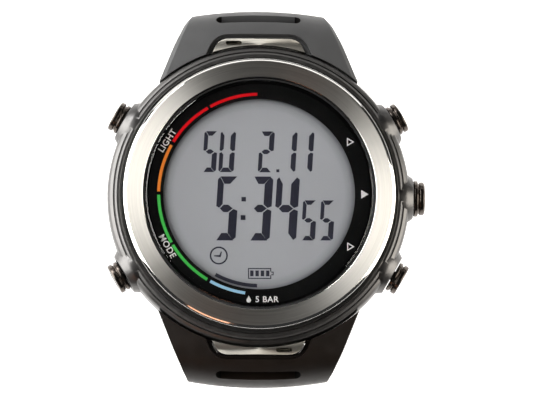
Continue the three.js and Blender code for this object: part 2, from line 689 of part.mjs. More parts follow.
// The point and heading at a distance along a strap's line, and the distances of its sections.
const strapStart = { y: CASE_RADIUS - STRAP_INSET, z: ridgeTop + STRAP_RISE, heading: radians(STRAP_SLOPE) };
function walk(runs, distance) {
  let { y, z, heading } = strapStart;
  let left = distance;
  for (const { length, radius, to } of runs) {
    const part = min(left, length ?? radius * (to - heading));
    if (radius) {
      const end = heading + part / radius;
      y += radius * (sin(end) - sin(heading));
      z -= radius * (cos(heading) - cos(end));
      heading = end;
    } else {
      y += part * cos(heading);
      z -= part * sin(heading);
    }
    left -= part;
    if (left <= 0) break;
  }
  return { y, z, heading };
}

const STEP_TURN = radians(13);
const STEP_RUN = 8;
function sectionsOf(runs) {
  const distances = [0];
  let { heading } = strapStart;
  for (const { length, radius, to } of runs) {
    const run = length ?? radius * (to - heading);
    const turn = radius ? to - heading : 0;
    const steps = max(Math.ceil(turn / STEP_TURN), Math.ceil(run / STEP_RUN));
    const start = distances.at(-1);
    for (let i = 1; i <= steps; i++) distances.push(start + (run * i) / steps);
    if (radius) heading = to;
  }
  return distances;
}

const lengthOf = (runs) => sectionsOf(runs).at(-1);

// The placing of a part on a strap: its Y along the strap, its Z out of the strap's outer face.
function onStrap(runs, distance, offset = 0) {
  const { y, z, heading } = walk(runs, distance);
  return new THREE.Matrix4()
    .makeRotationX(-heading)
    .setPosition(0, y + offset * sin(heading), z + offset * cos(heading));
}

// Width and thickness change evenly between the root, the bend and the band.
function strapSize(distance, endThickness, end) {
  const stops = [STRAP_ROOT, STRAP_BEND, STRAP_BAND, { ...STRAP_BAND, at: end, thickness: endThickness }];
  const next = max(1, stops.findIndex(({ at }) => at >= distance));
  const [a, b] = [stops[next - 1], stops[next]];
  const t = (distance - a.at) / (b.at - a.at);
  return {
    width: a.width + (b.width - a.width) * t,
    thickness: a.thickness + (b.thickness - a.thickness) * t,
  };
}

// One section: a crowned outer face with bevelled edges over a flat inner face. The crown dies away
// where the tip narrows.
function strapSection(width, thickness, narrowing) {
  const half = (width / 2) * narrowing;
  const crown = STRAP_CROWN * narrowing;
  const bevel = min(STRAP_BEVEL, half / 3);
  const flat = half - bevel;
  const outer = [-1, -0.5, 0, 0.5, 1].map((t) => [flat * t, -crown * t * t]);
  return [
    [-half, -crown - bevel],
    ...outer,
    [half, -crown - bevel],
    [half, -thickness + bevel / 2],
    [flat, -thickness],
    [-flat, -thickness],
    [-half, -thickness + bevel / 2],
  ];
}

// A loft through sections that all have the same number of points, with flat ends.
function loft(sections) {
  const count = sections[0].length;
  const positions = sections.flat().flatMap((point) => point.toArray());
  const index = [];
  const quad = (a, b, c, d) => index.push(a, b, c, a, c, d);
  for (let s = 0; s + 1 < sections.length; s++)
    for (let i = 0; i < count; i++) {
      const next = (i + 1) % count;
      const [low, high] = [s * count, (s + 1) * count];
      quad(low + i, low + next, high + next, high + i);
    }
  const last = (sections.length - 1) * count;
  for (let i = 1; i + 1 < count; i++) index.push(0, i + 1, i, last, last + i, last + i + 1);
  const geometry = new THREE.BufferGeometry();
  geometry.setAttribute("position", new THREE.Float32BufferAttribute(positions, 3));
  return geometry.setIndex(index);
}

function strapBlank(runs, endThickness, tipRadius = 0) {
  const end = lengthOf(runs);
  const tipStart = end - tipRadius;
  const tipAngles = [0, 14, 28, 42, 56, 70, 84];
  const tip = tipAngles.map((angle) => tipStart + tipRadius * sin(radians(angle)));
  const band = sectionsOf(runs).filter((distance) => distance < tipStart - 0.1);
  const distances = [...band, ...(tipRadius ? tip : [end])];
  return loft(
    distances.map((distance) => {
      const { width, thickness } = strapSize(distance, endThickness, end);
      const intoTip = max(0, distance - tipStart);
      const narrowing = tipRadius ? sqrt(1 - (intoTip / tipRadius) ** 2) : 1;
      const placing = onStrap(runs, distance);
      return strapSection(width, thickness, narrowing).map(([x, z]) =>
        new THREE.Vector3(x, 0, z).applyMatrix4(placing),
      );
    }),
  );
}

// The notch between the strap's two ears, and the end link that fills it, in plan. The link is cut
// from the same blank as the strap, so that its face goes on into the strap's.
const notchShape = (inset) =>
  outlineShape([
    [-NOTCH.root - 2 + inset, 0],
    [NOTCH.root + 2 - inset, 0],
    [NOTCH.root - inset, pinLine],
    [NOTCH.tip - inset, CASE_RADIUS + NOTCH.reach - inset],
    [-NOTCH.tip + inset, CASE_RADIUS + NOTCH.reach - inset],
    [-NOTCH.root + inset, pinLine],
  ]);
const rootCut = [-1, ridgeTop + 9]; // heights between which the case and the notch shape the strap
const caseHole = disc(strapFace, ...rootCut, ROUND);
const tenonPlace = [strapFace + 0.75, pinHeight - LINK_TENON.drop];
const tenonEnd = NOTCH.tip + LINK_TENON.length;

function endLink(blank) {
  const prism = plate(notchShape(GAP), pinHeight - LINK_DEPTH, rootCut[1]);
  const body = cut(common(blank, prism), [caseHole, pinBore]);
  const tenon = rod(LINK_TENON.radius, -tenonEnd, tenonEnd).translate(0, ...tenonPlace);
  const slot = slotShape(LINK_RECESS.length, LINK_RECESS.width);
  const top = walk(UPPER_RUNS, STRAP_ARCH).z;
  const recess = plate(slot, top - LINK_RECESS.depth, top + 2, 4);
  return cut(join(body, [tenon]), [recess.translate(LINK_RECESS.x, strapFace + 0.4, 0)]);
}

// Where a strap pin's head ends, outside the strap's side.
const ears = strapSize(pinLine - strapStart.y, TAIL_THICKNESS, lengthOf(UPPER_RUNS));
const pinEnd = ears.width / 2 + PIN_HEAD.stands;

function strapRoot(blank, runs) {
  const headSeat = pinEnd - PIN_HEAD.length - GAP;
  const headBore = rod(PIN_HEAD.radius + GAP, headSeat, headSeat + STRAP_ROOT.thickness);
  const headBores = [headBore, headBore.clone().rotateZ(PI)].map((bore) =>
    bore.translate(0, pinLine, pinHeight),
  );
  const tenonBore = rod(LINK_TENON.radius + GAP, -tenonEnd - GAP, tenonEnd + GAP);
  const groove = plate(slotShape(GROOVE.length, GROOVE.width), -GROOVE.depth, 3, 5);
  return cut(blank, [
    caseHole,
    plate(notchShape(0), ...rootCut),
    ...headBores,
    pinBore,
    tenonBore.translate(0, ...tenonPlace),
    groove.applyMatrix4(onStrap(runs, GROOVE.at)),
  ]);
}

// A strap pin: a plain shank between two slotted heads.
function strapPin() {
  const neck = pinEnd - PIN_HEAD.length;
  const { radius } = PIN_HEAD;
  const drive = block([pinEnd - 0.4, pinEnd + 1], [-radius, radius], [-0.2, 0.2]);
  const blank = turned([
    [0, -pinEnd],
    [radius, -pinEnd],
    [radius, -neck],
    [PIN_RADIUS, -neck],
    [PIN_RADIUS, neck],
    [radius, neck],
    [radius, pinEnd],
    [0, pinEnd],
  ], SMALL_ROUND).rotateY(PI / 2);
  return cut(blank, [drive, drive.clone().rotateZ(PI)]).translate(0, pinLine, pinHeight);
}

const upperHalf = new THREE.Group();
const lowerHalf = new THREE.Group();
lowerHalf.rotation.z = PI;
computer.add(upperHalf, lowerHalf);

// Upper half: it ends in two knuckles round the buckle bar, with the tongue's slot between them.
const upperEnd = lengthOf(UPPER_RUNS);
const barAt = upperEnd - BUCKLE_END;
const barDepth = -STRAP_BAND.thickness / 2;
const onBar = onStrap(UPPER_RUNS, barAt, barDepth);
const upperBlank = strapBlank(UPPER_RUNS, STRAP_BAND.thickness);
const tongueSlot = block([-TONGUE_WIDTH / 2 - 0.6, TONGUE_WIDTH / 2 + 0.6], [-4, 9], [-9, 9]);
const barBore = rod(BUCKLE_BAR_RADIUS + GAP, -STRAP_ROOT.width, STRAP_ROOT.width);
const strapUpper = cut(strapRoot(upperBlank, UPPER_RUNS), [
  tongueSlot.applyMatrix4(onBar),
  barBore.clone().applyMatrix4(onBar),
]);
add("strap_upper", strapUpper, UPPER_RESIN, null, upperHalf);
add("end_link_upper", endLink(upperBlank), BRUSHED_STEEL, null, upperHalf);
add("strap_pin_upper", strapPin(), SCREW_STEEL, null, upperHalf);

// Lower half: the tail, with a round end and a row of holes for the tongue.
const lowerEnd = lengthOf(LOWER_RUNS);
const lowerBlank = strapBlank(LOWER_RUNS, TAIL_THICKNESS, STRAP_BAND.width / 2);
const tongueHoles = Array.from({ length: HOLES.count }, (_, i) =>
  disc(HOLES.radius, -9, 9, 12).applyMatrix4(
    onStrap(LOWER_RUNS, lowerEnd - HOLES.first - i * HOLES.pitch),
  ),
);
const strapLower = cut(strapRoot(lowerBlank, LOWER_RUNS), tongueHoles);
add("strap_lower", strapLower, LOWER_RESIN, null, lowerHalf);
add("end_link_lower", endLink(lowerBlank), BRUSHED_STEEL, null, lowerHalf);
add("strap_pin_lower", strapPin(), SCREW_STEEL, null, lowerHalf);

// Keepers: closed loops round the strap, with room for the tail between them and its outer face.
const insideWidth = STRAP_BAND.width / 2 + 0.35;
const insideLow = -STRAP_BAND.thickness - GAP;
const insideHigh = TAIL_THICKNESS + 0.35;
function keeperLoop(width) {
  const [side, low, high] = [
    insideWidth + KEEPER_WALL,
    insideLow - KEEPER_WALL,
    insideHigh + KEEPER_WALL,
  ];
  const corner = 1.6;
  const shape = new THREE.Shape();
  shape.absarc(side - corner, -low - corner, corner, 0, PI / 2);
  shape.absarc(corner - side, -low - corner, corner, PI / 2, PI);
  shape.absarc(corner - side, -high + corner, corner, PI, 1.5 * PI);
  shape.absarc(side - corner, -high + corner, corner, 1.5 * PI, 2 * PI);
  shape.holes.push(
    new THREE.Path([
      new THREE.Vector2(-insideWidth, -insideHigh),
      new THREE.Vector2(-insideWidth, -insideLow),
      new THREE.Vector2(insideWidth, -insideLow),
      new THREE.Vector2(insideWidth, -insideHigh),
    ]),
  );
  return plate(shape, -width / 2, width / 2, 3).rotateX(-PI / 2);
}
for (const [name, { behindBar, width }] of [
  ["fixed_keeper", FIXED_KEEPER],
  ["sliding_keeper", SLIDING_KEEPER],
])
  add(name, keeperLoop(width), KEEPER_RESIN, onStrap(UPPER_RUNS, barAt - behindBar), upperHalf);

// Buckle: a frame of two arms and a cross bar that turns on the buckle bar, and a tongue on the
// same bar that rests on the cross bar.
const armInside = STRAP_BAND.width / 2 + 0.6;
const armOutside = armInside + BUCKLE_ARM;
const frameHalf = BUCKLE_THICKNESS / 2;
const armBack = -frameHalf - 0.3;
const frameShape = new THREE.Shape();
const frameCorner = 4;
frameShape.moveTo(-armOutside, armBack);
frameShape.lineTo(-armInside, armBack);
frameShape.lineTo(-armInside, BUCKLE_LENGTH - BUCKLE_ARM);
frameShape.lineTo(armInside, BUCKLE_LENGTH - BUCKLE_ARM);
frameShape.lineTo(armInside, armBack);
frameShape.lineTo(armOutside, armBack);
frameShape.absarc(armOutside - frameCorner, BUCKLE_LENGTH - frameCorner, frameCorner, 0, PI / 2);
frameShape.absarc(frameCorner - armOutside, BUCKLE_LENGTH - frameCorner, frameCorner, PI / 2, PI);
const buckleFrame = cut(plate(frameShape, -frameHalf, frameHalf, 5), [barBore]);
add("buckle_frame", buckleFrame, BRUSHED_STEEL, onBar, upperHalf);
const tongueRing = 1.5;
const prongLow = frameHalf + GAP;
const prongTop = prongLow + 1.3;
const prong = outlineShape([
  [0, -0.2],
  [0, tongueRing],
  [BUCKLE_LENGTH - BUCKLE_ARM - 0.6, prongTop],
  [BUCKLE_LENGTH - 0.6, prongTop],
  [BUCKLE_LENGTH, prongTop - 0.6],
  [BUCKLE_LENGTH, prongLow],
  [BUCKLE_LENGTH - BUCKLE_ARM - 0.6, prongLow],
  [tongueRing - 0.3, -0.2],
]);
// The prong is drawn in (Y, Z) and extruded, and this turn stands it up across the bar.
const across = new THREE.Matrix4().makeBasis(
  new THREE.Vector3(0, 1, 0),
  new THREE.Vector3(0, 0, 1),
  new THREE.Vector3(1, 0, 0),
);
const halfTongue = TONGUE_WIDTH / 2;
const tongue = cut(
  join(rod(tongueRing, -halfTongue, halfTongue), [
    plate(prong, -halfTongue, halfTongue).applyMatrix4(across),
  ]),
  [barBore],
);
add("buckle_tongue", tongue, BRUSHED_STEEL, onBar, upperHalf);
const barHalf = armOutside - 0.4;
add("buckle_bar", rod(BUCKLE_BAR_RADIUS, -barHalf, barHalf), SCREW_STEEL, onBar, upperHalf);

export default computer;
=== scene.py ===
"""A wrist dive computer: steel case, brushed bezel, segment display and a resin strap.

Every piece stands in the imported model's own frame, in metres: +Z out of the display, +Y to
twelve o'clock and +X to three o'clock. Sizes below are in millimetres, times MM.
"""

import math

import bpy
from mathutils import Matrix, Vector


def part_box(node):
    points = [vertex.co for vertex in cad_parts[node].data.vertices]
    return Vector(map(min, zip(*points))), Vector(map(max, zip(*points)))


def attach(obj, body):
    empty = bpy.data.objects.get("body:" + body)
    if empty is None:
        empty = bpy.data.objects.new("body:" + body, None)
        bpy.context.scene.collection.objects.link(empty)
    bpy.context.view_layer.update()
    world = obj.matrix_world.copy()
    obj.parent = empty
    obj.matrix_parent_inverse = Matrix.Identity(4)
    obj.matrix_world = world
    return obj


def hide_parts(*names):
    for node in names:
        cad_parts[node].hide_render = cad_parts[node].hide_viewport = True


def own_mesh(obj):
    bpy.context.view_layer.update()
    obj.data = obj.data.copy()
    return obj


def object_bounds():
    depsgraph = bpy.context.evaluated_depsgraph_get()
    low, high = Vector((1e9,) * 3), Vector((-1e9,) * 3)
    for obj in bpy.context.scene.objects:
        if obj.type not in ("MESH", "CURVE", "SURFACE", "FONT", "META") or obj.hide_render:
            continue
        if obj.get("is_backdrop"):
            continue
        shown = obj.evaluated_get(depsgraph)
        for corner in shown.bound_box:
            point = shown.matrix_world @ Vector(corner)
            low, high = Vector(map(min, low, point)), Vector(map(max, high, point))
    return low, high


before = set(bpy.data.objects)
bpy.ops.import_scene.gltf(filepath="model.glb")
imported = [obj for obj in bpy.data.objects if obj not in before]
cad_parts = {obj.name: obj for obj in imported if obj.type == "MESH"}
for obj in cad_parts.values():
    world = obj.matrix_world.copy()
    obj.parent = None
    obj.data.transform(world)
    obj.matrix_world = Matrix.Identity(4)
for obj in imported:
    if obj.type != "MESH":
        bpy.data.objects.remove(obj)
cad_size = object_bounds()
MM = 0.001


# ------------------------ case
# The case is one turned ring of grey coated steel with a ridge round the bezel's seat. Five
# collars stand out of its side round the pushers, and four bosses inside take the back's screws.


def eased(points):
    """The same run of points with its corners cut, so that it reads as one curve."""
    for _ in range(2):
        softer = [points[0]]
        for (x0, y0), (x1, y1) in zip(points, points[1:]):
            softer.append((0.75 * x0 + 0.25 * x1, 0.75 * y0 + 0.25 * y1))
            softer.append((0.25 * x0 + 0.75 * x1, 0.25 * y0 + 0.75 * y1))
        points = softer + [points[-1]]
    return points


def polished(outline, radius):
    """The outline with each sharp corner rounded off, as polishing leaves it."""
    closed = outline[0][0] > 1e-9 or outline[-1][0] > 1e-9
    rounded = []
    for i, corner in enumerate(outline):
        if not closed and i in (0, len(outline) - 1):
            rounded.append(corner)
            continue
        here = Vector(corner)
        before = Vector(outline[i - 1]) - here
        after = Vector(outline[(i + 1) % len(outline)]) - here
        if before.angle(after) > math.radians(155):
            rounded.append(corner)
            continue
        cut = min(radius, before.length / 2.2, after.length / 2.2)
        first = here + before.normalized() * cut
        last = here + after.normalized() * cut
        for t in (0.0, 0.33, 0.67, 1.0):
            point = first * (1 - t) ** 2 + here * 2 * t * (1 - t) + last * t * t
            rounded.append(tuple(point))
    return rounded


def chain(name, points):
    """A new object in edit mode: a chain of edges drawn through the points, in mm."""
    bpy.ops.object.select_all(action="DESELECT")
    bpy.ops.mesh.primitive_plane_add(size=MM, location=(0, 0, 0))
    piece = bpy.context.object
    piece.name = piece.data.name = name
    bpy.ops.object.mode_set(mode="EDIT")
    bpy.ops.mesh.merge(type="CENTER")
    here = Vector(points[0])
    bpy.ops.transform.translate(value=here * MM)
    for point in points[1:]:
        there = Vector(point)
        step = {"value": (there - here) * MM}
        bpy.ops.mesh.extrude_vertices_move(TRANSFORM_OT_translate=step)
        here = there
    return piece


def close_up(piece):
    """Merges what meets, turns the faces outwards and leaves edit mode."""
    bpy.ops.mesh.select_all(action="SELECT")
    bpy.ops.mesh.remove_doubles(threshold=0.002 * MM)
    bpy.ops.mesh.normals_make_consistent(inside=False)
    bpy.ops.object.mode_set(mode="OBJECT")
    return piece


def turned(name, outline, steps=192, rounding=0.12):
    """A part turned about Z from the (radius, height) corners of its half section."""
    corners = polished(outline, rounding)
    points = [(radius, 0, height) for radius, height in corners]
    if corners[0][0] > 1e-9:
        points.append(points[0])
    piece = chain(name, points)
    bpy.ops.mesh.select_all(action="SELECT")
    bpy.ops.mesh.spin(
        steps=steps, angle=math.tau, use_auto_merge=True, center=(0, 0, 0), axis=(0, 0, 1)
    )
    return close_up(piece)


def plug(radius, low, high, steps=32, rounding=0.0):
    """A plain turned cylinder between two heights."""
    outline = [(0, low), (radius, low), (radius, high), (0, high)]
    return turned("plug", outline, steps, rounding)


def drawn(name, corners, low, high):
    """A flat-sided part: its outline in X and Y, drawn at one height and raised to another."""
    piece = chain(name, [(x, y, low) for x, y in corners])
    bpy.ops.mesh.select_all(action="SELECT")
    bpy.ops.mesh.edge_face_add()
    rise = {"value": (0, 0, (high - low) * MM)}
    bpy.ops.mesh.extrude_region_move(TRANSFORM_OT_translate=rise)
    return close_up(piece)


def pick(pieces):
    """Selects these pieces and no others, and makes the first one active."""
    bpy.ops.object.select_all(action="DESELECT")
    for piece in pieces:
        piece.select_set(True)
    bpy.context.view_layer.objects.active = pieces[0]


def settle(piece, placing=None):
    """Moves a piece to its place and leaves its object at the origin, unturned."""
    if placing is not None:
        piece.matrix_world = placing
    pick([piece])
    bpy.ops.object.transform_apply(location=True, rotation=True, scale=True)
    return piece


def at(x, y, z=0.0):
    """The placing of a part at a point in mm."""
    return Matrix.Translation((x * MM, y * MM, z * MM))


def polar(reach, degrees):
    """The X and Y of a point at a distance from Z and an angle from three o'clock."""
    angle = math.radians(degrees)
    return reach * math.cos(angle), reach * math.sin(angle)


def with_modifier(piece, kind, **settings):
    """Adds a modifier, sets it and applies it."""
    bpy.context.view_layer.objects.active = piece
    modifier = piece.modifiers.new(kind.lower(), kind)
    for setting, value in settings.items():
        setattr(modifier, setting, value)
    bpy.ops.object.modifier_apply(modifier=modifier.name)


def joined(pieces, name=None):
    """Several meshes as one object, which keeps the first one's name."""
    pick(pieces)
    if len(pieces) > 1:
        bpy.ops.object.join()
    if name:
        pieces[0].name = name
    return pieces[0]


def shaped(piece, tools, operation="DIFFERENCE"):
    """Cuts the tools out of a piece, adds them or keeps what they share, and removes them."""
    tool = joined(tools)
    with_modifier(piece, "BOOLEAN", operation=operation, object=tool, solver="EXACT")
    bpy.data.objects.remove(tool)


def smoothed(piece, angle=35):
    """Smooth shading that keeps the piece's flats flat and its edges crisp."""
    pick([piece])
    bpy.ops.object.shade_smooth_by_angle(angle=math.radians(angle))
    with_modifier(piece, "WEIGHTED_NORMAL", keep_sharp=True, weight=80)
    return piece


def bevelled(piece, width, segments=2, angle=40):
    """Breaks the sharp edges of a piece."""
    limits = {"limit_method": "ANGLE", "angle_limit": math.radians(angle)}
    with_modifier(piece, "BEVEL", width=width * MM, segments=segments, **limits)


def spun(degrees, axis="Z"):
    """A turn about an axis through the origin."""
    return Matrix.Rotation(math.radians(degrees), 4, axis)


def outward(angle, height):
    """The placing of a part whose own Z points out of the case's side at an angle."""
    return at(0, 0, height) @ spun(angle) @ spun(90, "Y")


def along_x(x, y, z):
    """The placing of a part whose own Z lies along X, with its origin at a point in mm."""
    return Matrix.Translation(Vector((x, y, z)) * MM) @ spun(90, "Y")


def finish(name, **sockets):
    """A material whose even numbers and colours stand on the shader's own sockets."""
    material = bpy.data.materials.new(name)
    material.use_nodes = True
    shader = material.node_tree.nodes["Principled BSDF"]
    for socket, value in sockets.items():
        shader.inputs[socket.replace("_", " ")].default_value = value
    return material


def texture(material, scale, stretch=(1, 1, 1), kind="Noise", **settings):
    """A procedural texture on the piece's own coordinates; scale is in features per metre."""
    nodes, links = material.node_tree.nodes, material.node_tree.links
    place = nodes.new("ShaderNodeTexCoord")
    mapping = nodes.new("ShaderNodeMapping")
    mapping.inputs["Scale"].default_value = stretch
    pattern = nodes.new("ShaderNodeTex" + kind)
    pattern.inputs["Scale"].default_value = scale
    for setting, value in settings.items():
        pattern.inputs[setting].default_value = value
    links.new(place.outputs["Object"], mapping.inputs["Vector"])
    links.new(mapping.outputs["Vector"], pattern.inputs["Vector"])
    return pattern


def vary(material, pattern, socket, low, high):
    """Lets a pattern move a socket between two numbers or two colours."""
    nodes, links = material.node_tree.nodes, material.node_tree.links
    shader = nodes["Principled BSDF"]
    if isinstance(low, tuple):
        span = nodes.new("ShaderNodeValToRGB")
        for stop, position, colour in zip(span.color_ramp.elements, (0.3, 0.7), (low, high)):
            stop.position, stop.color = position, colour
    else:
        span = nodes.new("ShaderNodeMapRange")
        limits = {"From Min": 0.3, "From Max": 0.7, "To Min": low, "To Max": high}
        for setting, value in limits.items():
            span.inputs[setting].default_value = value
    links.new(pattern.outputs[0], span.inputs[0])
    links.new(span.outputs[0], shader.inputs[socket])


def coat(name, colour, roughness, grain, shine, stretch=(1, 1, 1), **sockets):
    """A finish of one colour, with a roughness that wanders finely between two values."""
    material = finish(name, Base_Color=colour + (1,), Roughness=roughness, **sockets)
    pattern = texture(material, grain, stretch)
    vary(material, pattern, "Roughness", *shine)
    return material


def rimmed(piece, material, picks):
    """Gives a second material to the faces whose reach from Z and height, in mm, it picks."""
    piece.data.materials.append(material)
    for face in piece.data.polygons:
        x, y, height = face.center
        if picks(math.hypot(x, y) / MM, height / MM):
            face.material_index = 1


def roughen(material, pattern, strength, depth):
    """Lets a pattern stand up from the surface, depth mm high."""
    nodes, links = material.node_tree.nodes, material.node_tree.links
    bump = nodes.new("ShaderNodeBump")
    bump.inputs["Strength"].default_value = strength
    bump.inputs["Distance"].default_value = depth * MM
    links.new(pattern.outputs[0], bump.inputs["Height"])
    links.new(bump.outputs["Normal"], nodes["Principled BSDF"].inputs["Normal"])


def made_of(piece, material):
    """Gives a piece one material."""
    piece.data.materials.clear()
    piece.data.materials.append(material)


def fitted(piece, material, body, node):
    """Gives a finished piece its material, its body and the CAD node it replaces."""
    made_of(piece, material)
    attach(piece, body)
    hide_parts(node)


COLLAR_FACE = 25.85
BUTTON_LINE = 6.0
BUTTON_ANGLES = {"light": 150, "mode": 210, "up": 30, "start": 0, "down": -30}
PIN_LINE = 23.6
PIN_HEIGHT = 5.6
case_side = eased(
    [(21.95, 0.5), (22.6, 0.7), (23.8, 1.5), (24.95, 3.3), (25.25, 5.2), (25.22, 8.2)]
    + [(25.0, 9.3), (24.3, 9.75)]
)
case_body = turned(
    "case",
    [(21.45, 0.5)]
    + case_side
    + [(24.2, 9.6), (24.1, 9.6), (24.02, 9.9), (23.72, 10.2), (23.2, 10.2), (23.05, 9.3)]
    + [(21.3, 9.3), (21.3, 7.8), (19.6, 7.8), (19.6, 2.0), (21.45, 2.0)],
    steps=256,
    rounding=0.08,
)
collar_outline = [
    (0, 23.25), (4.35, 23.25), (4.2, 24.4), (4.0, 24.95), (3.55, 25.6), (3.4, COLLAR_FACE),
    (0, COLLAR_FACE),
]
collars = [
    settle(turned("collar", collar_outline, 64, 0.25), outward(angle, BUTTON_LINE))
    for angle in BUTTON_ANGLES.values()
]
SCREW_CIRCLE = 18.6
SCREW_ANGLES = (60, 120, 240, 300)
screw_places = [polar(SCREW_CIRCLE, angle) for angle in SCREW_ANGLES]
bosses = [settle(plug(1.5, 2.0, 7.4, rounding=0.1), at(x, y)) for x, y in screw_places]
shaped(case_body, collars + bosses, "UNION")
screw_bores = [settle(plug(0.75, 1.0, 6.4, 24), at(x, y)) for x, y in screw_places]
button_bores = []
for button, angle in BUTTON_ANGLES.items():
    mouth = 3.32 if button == "start" else 2.85
    bore_outline = [(0, 18.6), (1.1, 18.6), (1.1, 21.6), (1.875, 21.6), (1.875, 24.7)]
    bore_outline += [(mouth, 24.7), (mouth, 25.65), (mouth + 0.15, 26.5), (0, 26.5)]
    bore = turned("bore", bore_outline, 64, 0)
    button_bores.append(settle(bore, outward(angle, BUTTON_LINE)))
pin_bores = [
    settle(plug(1.05, -20, 20), along_x(0, side * PIN_LINE, PIN_HEIGHT)) for side in (1, -1)
]
shaped(case_body, button_bores + screw_bores)
shaped(case_body, pin_bores)
case_steel = finish(
    "grey coated steel", Base_Color=(0.125, 0.122, 0.12, 1), Metallic=1.0, Roughness=0.36
)
vary(case_steel, texture(case_steel, 900, Detail=4), "Roughness", 0.31, 0.41)
roughen(case_steel, texture(case_steel, 6000), 0.12, 0.01)
fitted(smoothed(case_body), case_steel, "case", "case_body")


# ------------------------ bezel
# The bezel is a turned steel ring pressed into the case: its face is brushed round and round,
# and its outer edge and bore are polished bright. A rubber seal sits in its spigot's groove.

bezel_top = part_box("bezel")[1].z / MM
bezel = turned(
    "bezel_ring",
    [(19.9, 8.1), (21.0, 8.1), (21.0, 8.5), (20.5, 8.5), (20.5, 9.2), (21.0, 9.2)]
    + [(21.0, 9.6), (22.6, 9.6), (22.6, bezel_top - 0.6), (22.56, bezel_top - 0.32)]
    + [(22.08, bezel_top), (19.42, bezel_top), (19.35, bezel_top - 0.07)]
    + [(19.35, 10.7), (17.9, 10.7), (17.9, 10.2), (19.9, 9.7)],
    steps=256,
    rounding=0.07,
)


def from_axis(material, place, times):
    """A node output: a point's distance from the Z axis, multiplied."""
    nodes, links = material.node_tree.nodes, material.node_tree.links
    flat = nodes.new("ShaderNodeVectorMath")
    flat.operation = "MULTIPLY"
    flat.inputs[1].default_value = (1, 1, 0)
    reach = nodes.new("ShaderNodeVectorMath")
    reach.operation = "LENGTH"
    wide = nodes.new("ShaderNodeMath")
    wide.operation = "MULTIPLY"
    wide.inputs[1].default_value = times
    links.new(place.outputs["Object"], flat.inputs[0])
    links.new(flat.outputs["Vector"], reach.inputs[0])
    links.new(reach.outputs["Value"], wide.inputs[0])
    return wide.outputs["Value"]


def brushed_round(name, colour, roughness, turns, quarter=0.25):
    """Steel brushed in circles about Z, or outwards from it where quarter is 0."""
    steel = finish(
        name,
        Base_Color=colour,
        Metallic=1.0,
        Roughness=roughness,
        Anisotropic=0.9,
        Anisotropic_Rotation=quarter,
    )
    nodes, links = steel.node_tree.nodes, steel.node_tree.links
    shader = nodes["Principled BSDF"]
    tangent = nodes.new("ShaderNodeTangent")
    tangent.direction_type = "RADIAL"
    tangent.axis = "Z"
    links.new(tangent.outputs["Tangent"], shader.inputs["Tangent"])
    place = nodes.new("ShaderNodeTexCoord")
    apart = nodes.new("ShaderNodeSeparateXYZ")
    rings = nodes.new("ShaderNodeCombineXYZ")
    strokes = nodes.new("ShaderNodeTexNoise")
    strokes.inputs["Scale"].default_value = 60
    strokes.inputs["Detail"].default_value = 3
    links.new(place.outputs["Object"], apart.inputs["Vector"])
    links.new(apart.outputs["X"], rings.inputs["X"])
    links.new(apart.outputs["Y"], rings.inputs["Y"])
    links.new(from_axis(steel, place, turns), rings.inputs["Z"])
    links.new(rings.outputs["Vector"], strokes.inputs["Vector"])
    vary(steel, strokes, "Roughness", roughness - 0.1, roughness + 0.1)
    dark, light = (tuple(share * part for part in colour[:3]) + (1,) for share in (0.88, 1.07))
    vary(steel, strokes, "Base Color", dark, light)
    roughen(steel, strokes, 0.3, 0.006)
    return steel


bezel_steel = brushed_round("round brushed steel", (0.66, 0.64, 0.6, 1), 0.48, 170)
bright_steel = coat(
    "polished steel", (0.82, 0.81, 0.79), 0.08, 1500, (0.05, 0.12), Metallic=1.0
)
made_of(smoothed(bezel), bezel_steel)
rimmed(bezel, bright_steel, lambda reach, height: reach > 22.04 or reach < 19.46)
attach(bezel, "case")
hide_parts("bezel")

seal_rubber = coat("black seal rubber", (0.012, 0.012, 0.013), 0.6, 2500, (0.5, 0.7))
roughen(seal_rubber, texture(seal_rubber, 5000), 0.2, 0.01)


# ------------------------ crystal
# The crystal is a flat mineral glass with a bevelled rim. It stands in the bezel on an
# L-shaped black gasket, whose edge shows as a thin dark line round the glass.

crystal = turned(
    "crystal_glass",
    [(0, 11.7), (18.45, 11.7), (18.45, 12.5), (18.9, 12.5), (18.9, 13.1), (18.64, 13.25)]
    + [(0, 13.25)],
    steps=256,
    rounding=0.04,
)
glass = coat(
    "mineral glass", (1, 1, 1), 0.01, 200, (0.004, 0.012), IOR=1.45, Transmission_Weight=1.0
)
made_of(smoothed(crystal), glass)
rim_black = coat(
    "rim mask", (0.001, 0.001, 0.001), 0.6, 3000, (0.55, 0.65), Specular_IOR_Level=0.0
)
rimmed(crystal, rim_black, lambda reach, height: reach > 18.35 and height < 12.56)
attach(crystal, "case")
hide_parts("crystal")

crystal_gasket = turned(
    "crystal_gasket_ring",
    [(18.55, 11.72), (19.22, 11.72), (19.22, 12.9), (19.0, 12.9), (19.0, 12.2), (18.55, 12.2)],
    steps=256,
    rounding=0.05,
)
fitted(smoothed(crystal_gasket), seal_rubber, "case", "crystal_gasket")


# ------------------------ dial ring
# A black ring under the glass frames the display. It is printed with coloured arcs for the
# rate of ascent, three arrows beside the right-hand pushers and two words beside the left.

ring_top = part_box("dial_ring")[1].z / MM
dial_ring = turned(
    "dial_ring_black",
    [(15.9, 11.0), (18.7, 11.0), (18.7, ring_top), (15.9, ring_top)],
    steps=256,
    rounding=0.05,
)
dial_black = coat(
    "black dial print", (0.0015, 0.0014, 0.0013), 0.6, 3000, (0.55, 0.65), Specular_IOR_Level=0.08
)
fitted(smoothed(dial_ring), dial_black, "case", "dial_ring")

INK_THICKNESS = 0.02


def ink(name, colour):
    """Opaque printing ink, a little uneven in its shine."""
    print_ink = finish(name, Base_Color=colour, Roughness=0.5, Specular_IOR_Level=0.1)
    uneven = texture(print_ink, 4000)
    faded = tuple(0.93 * part for part in colour[:3]) + (1,)
    vary(print_ink, uneven, "Base Color", faded, colour)
    return print_ink


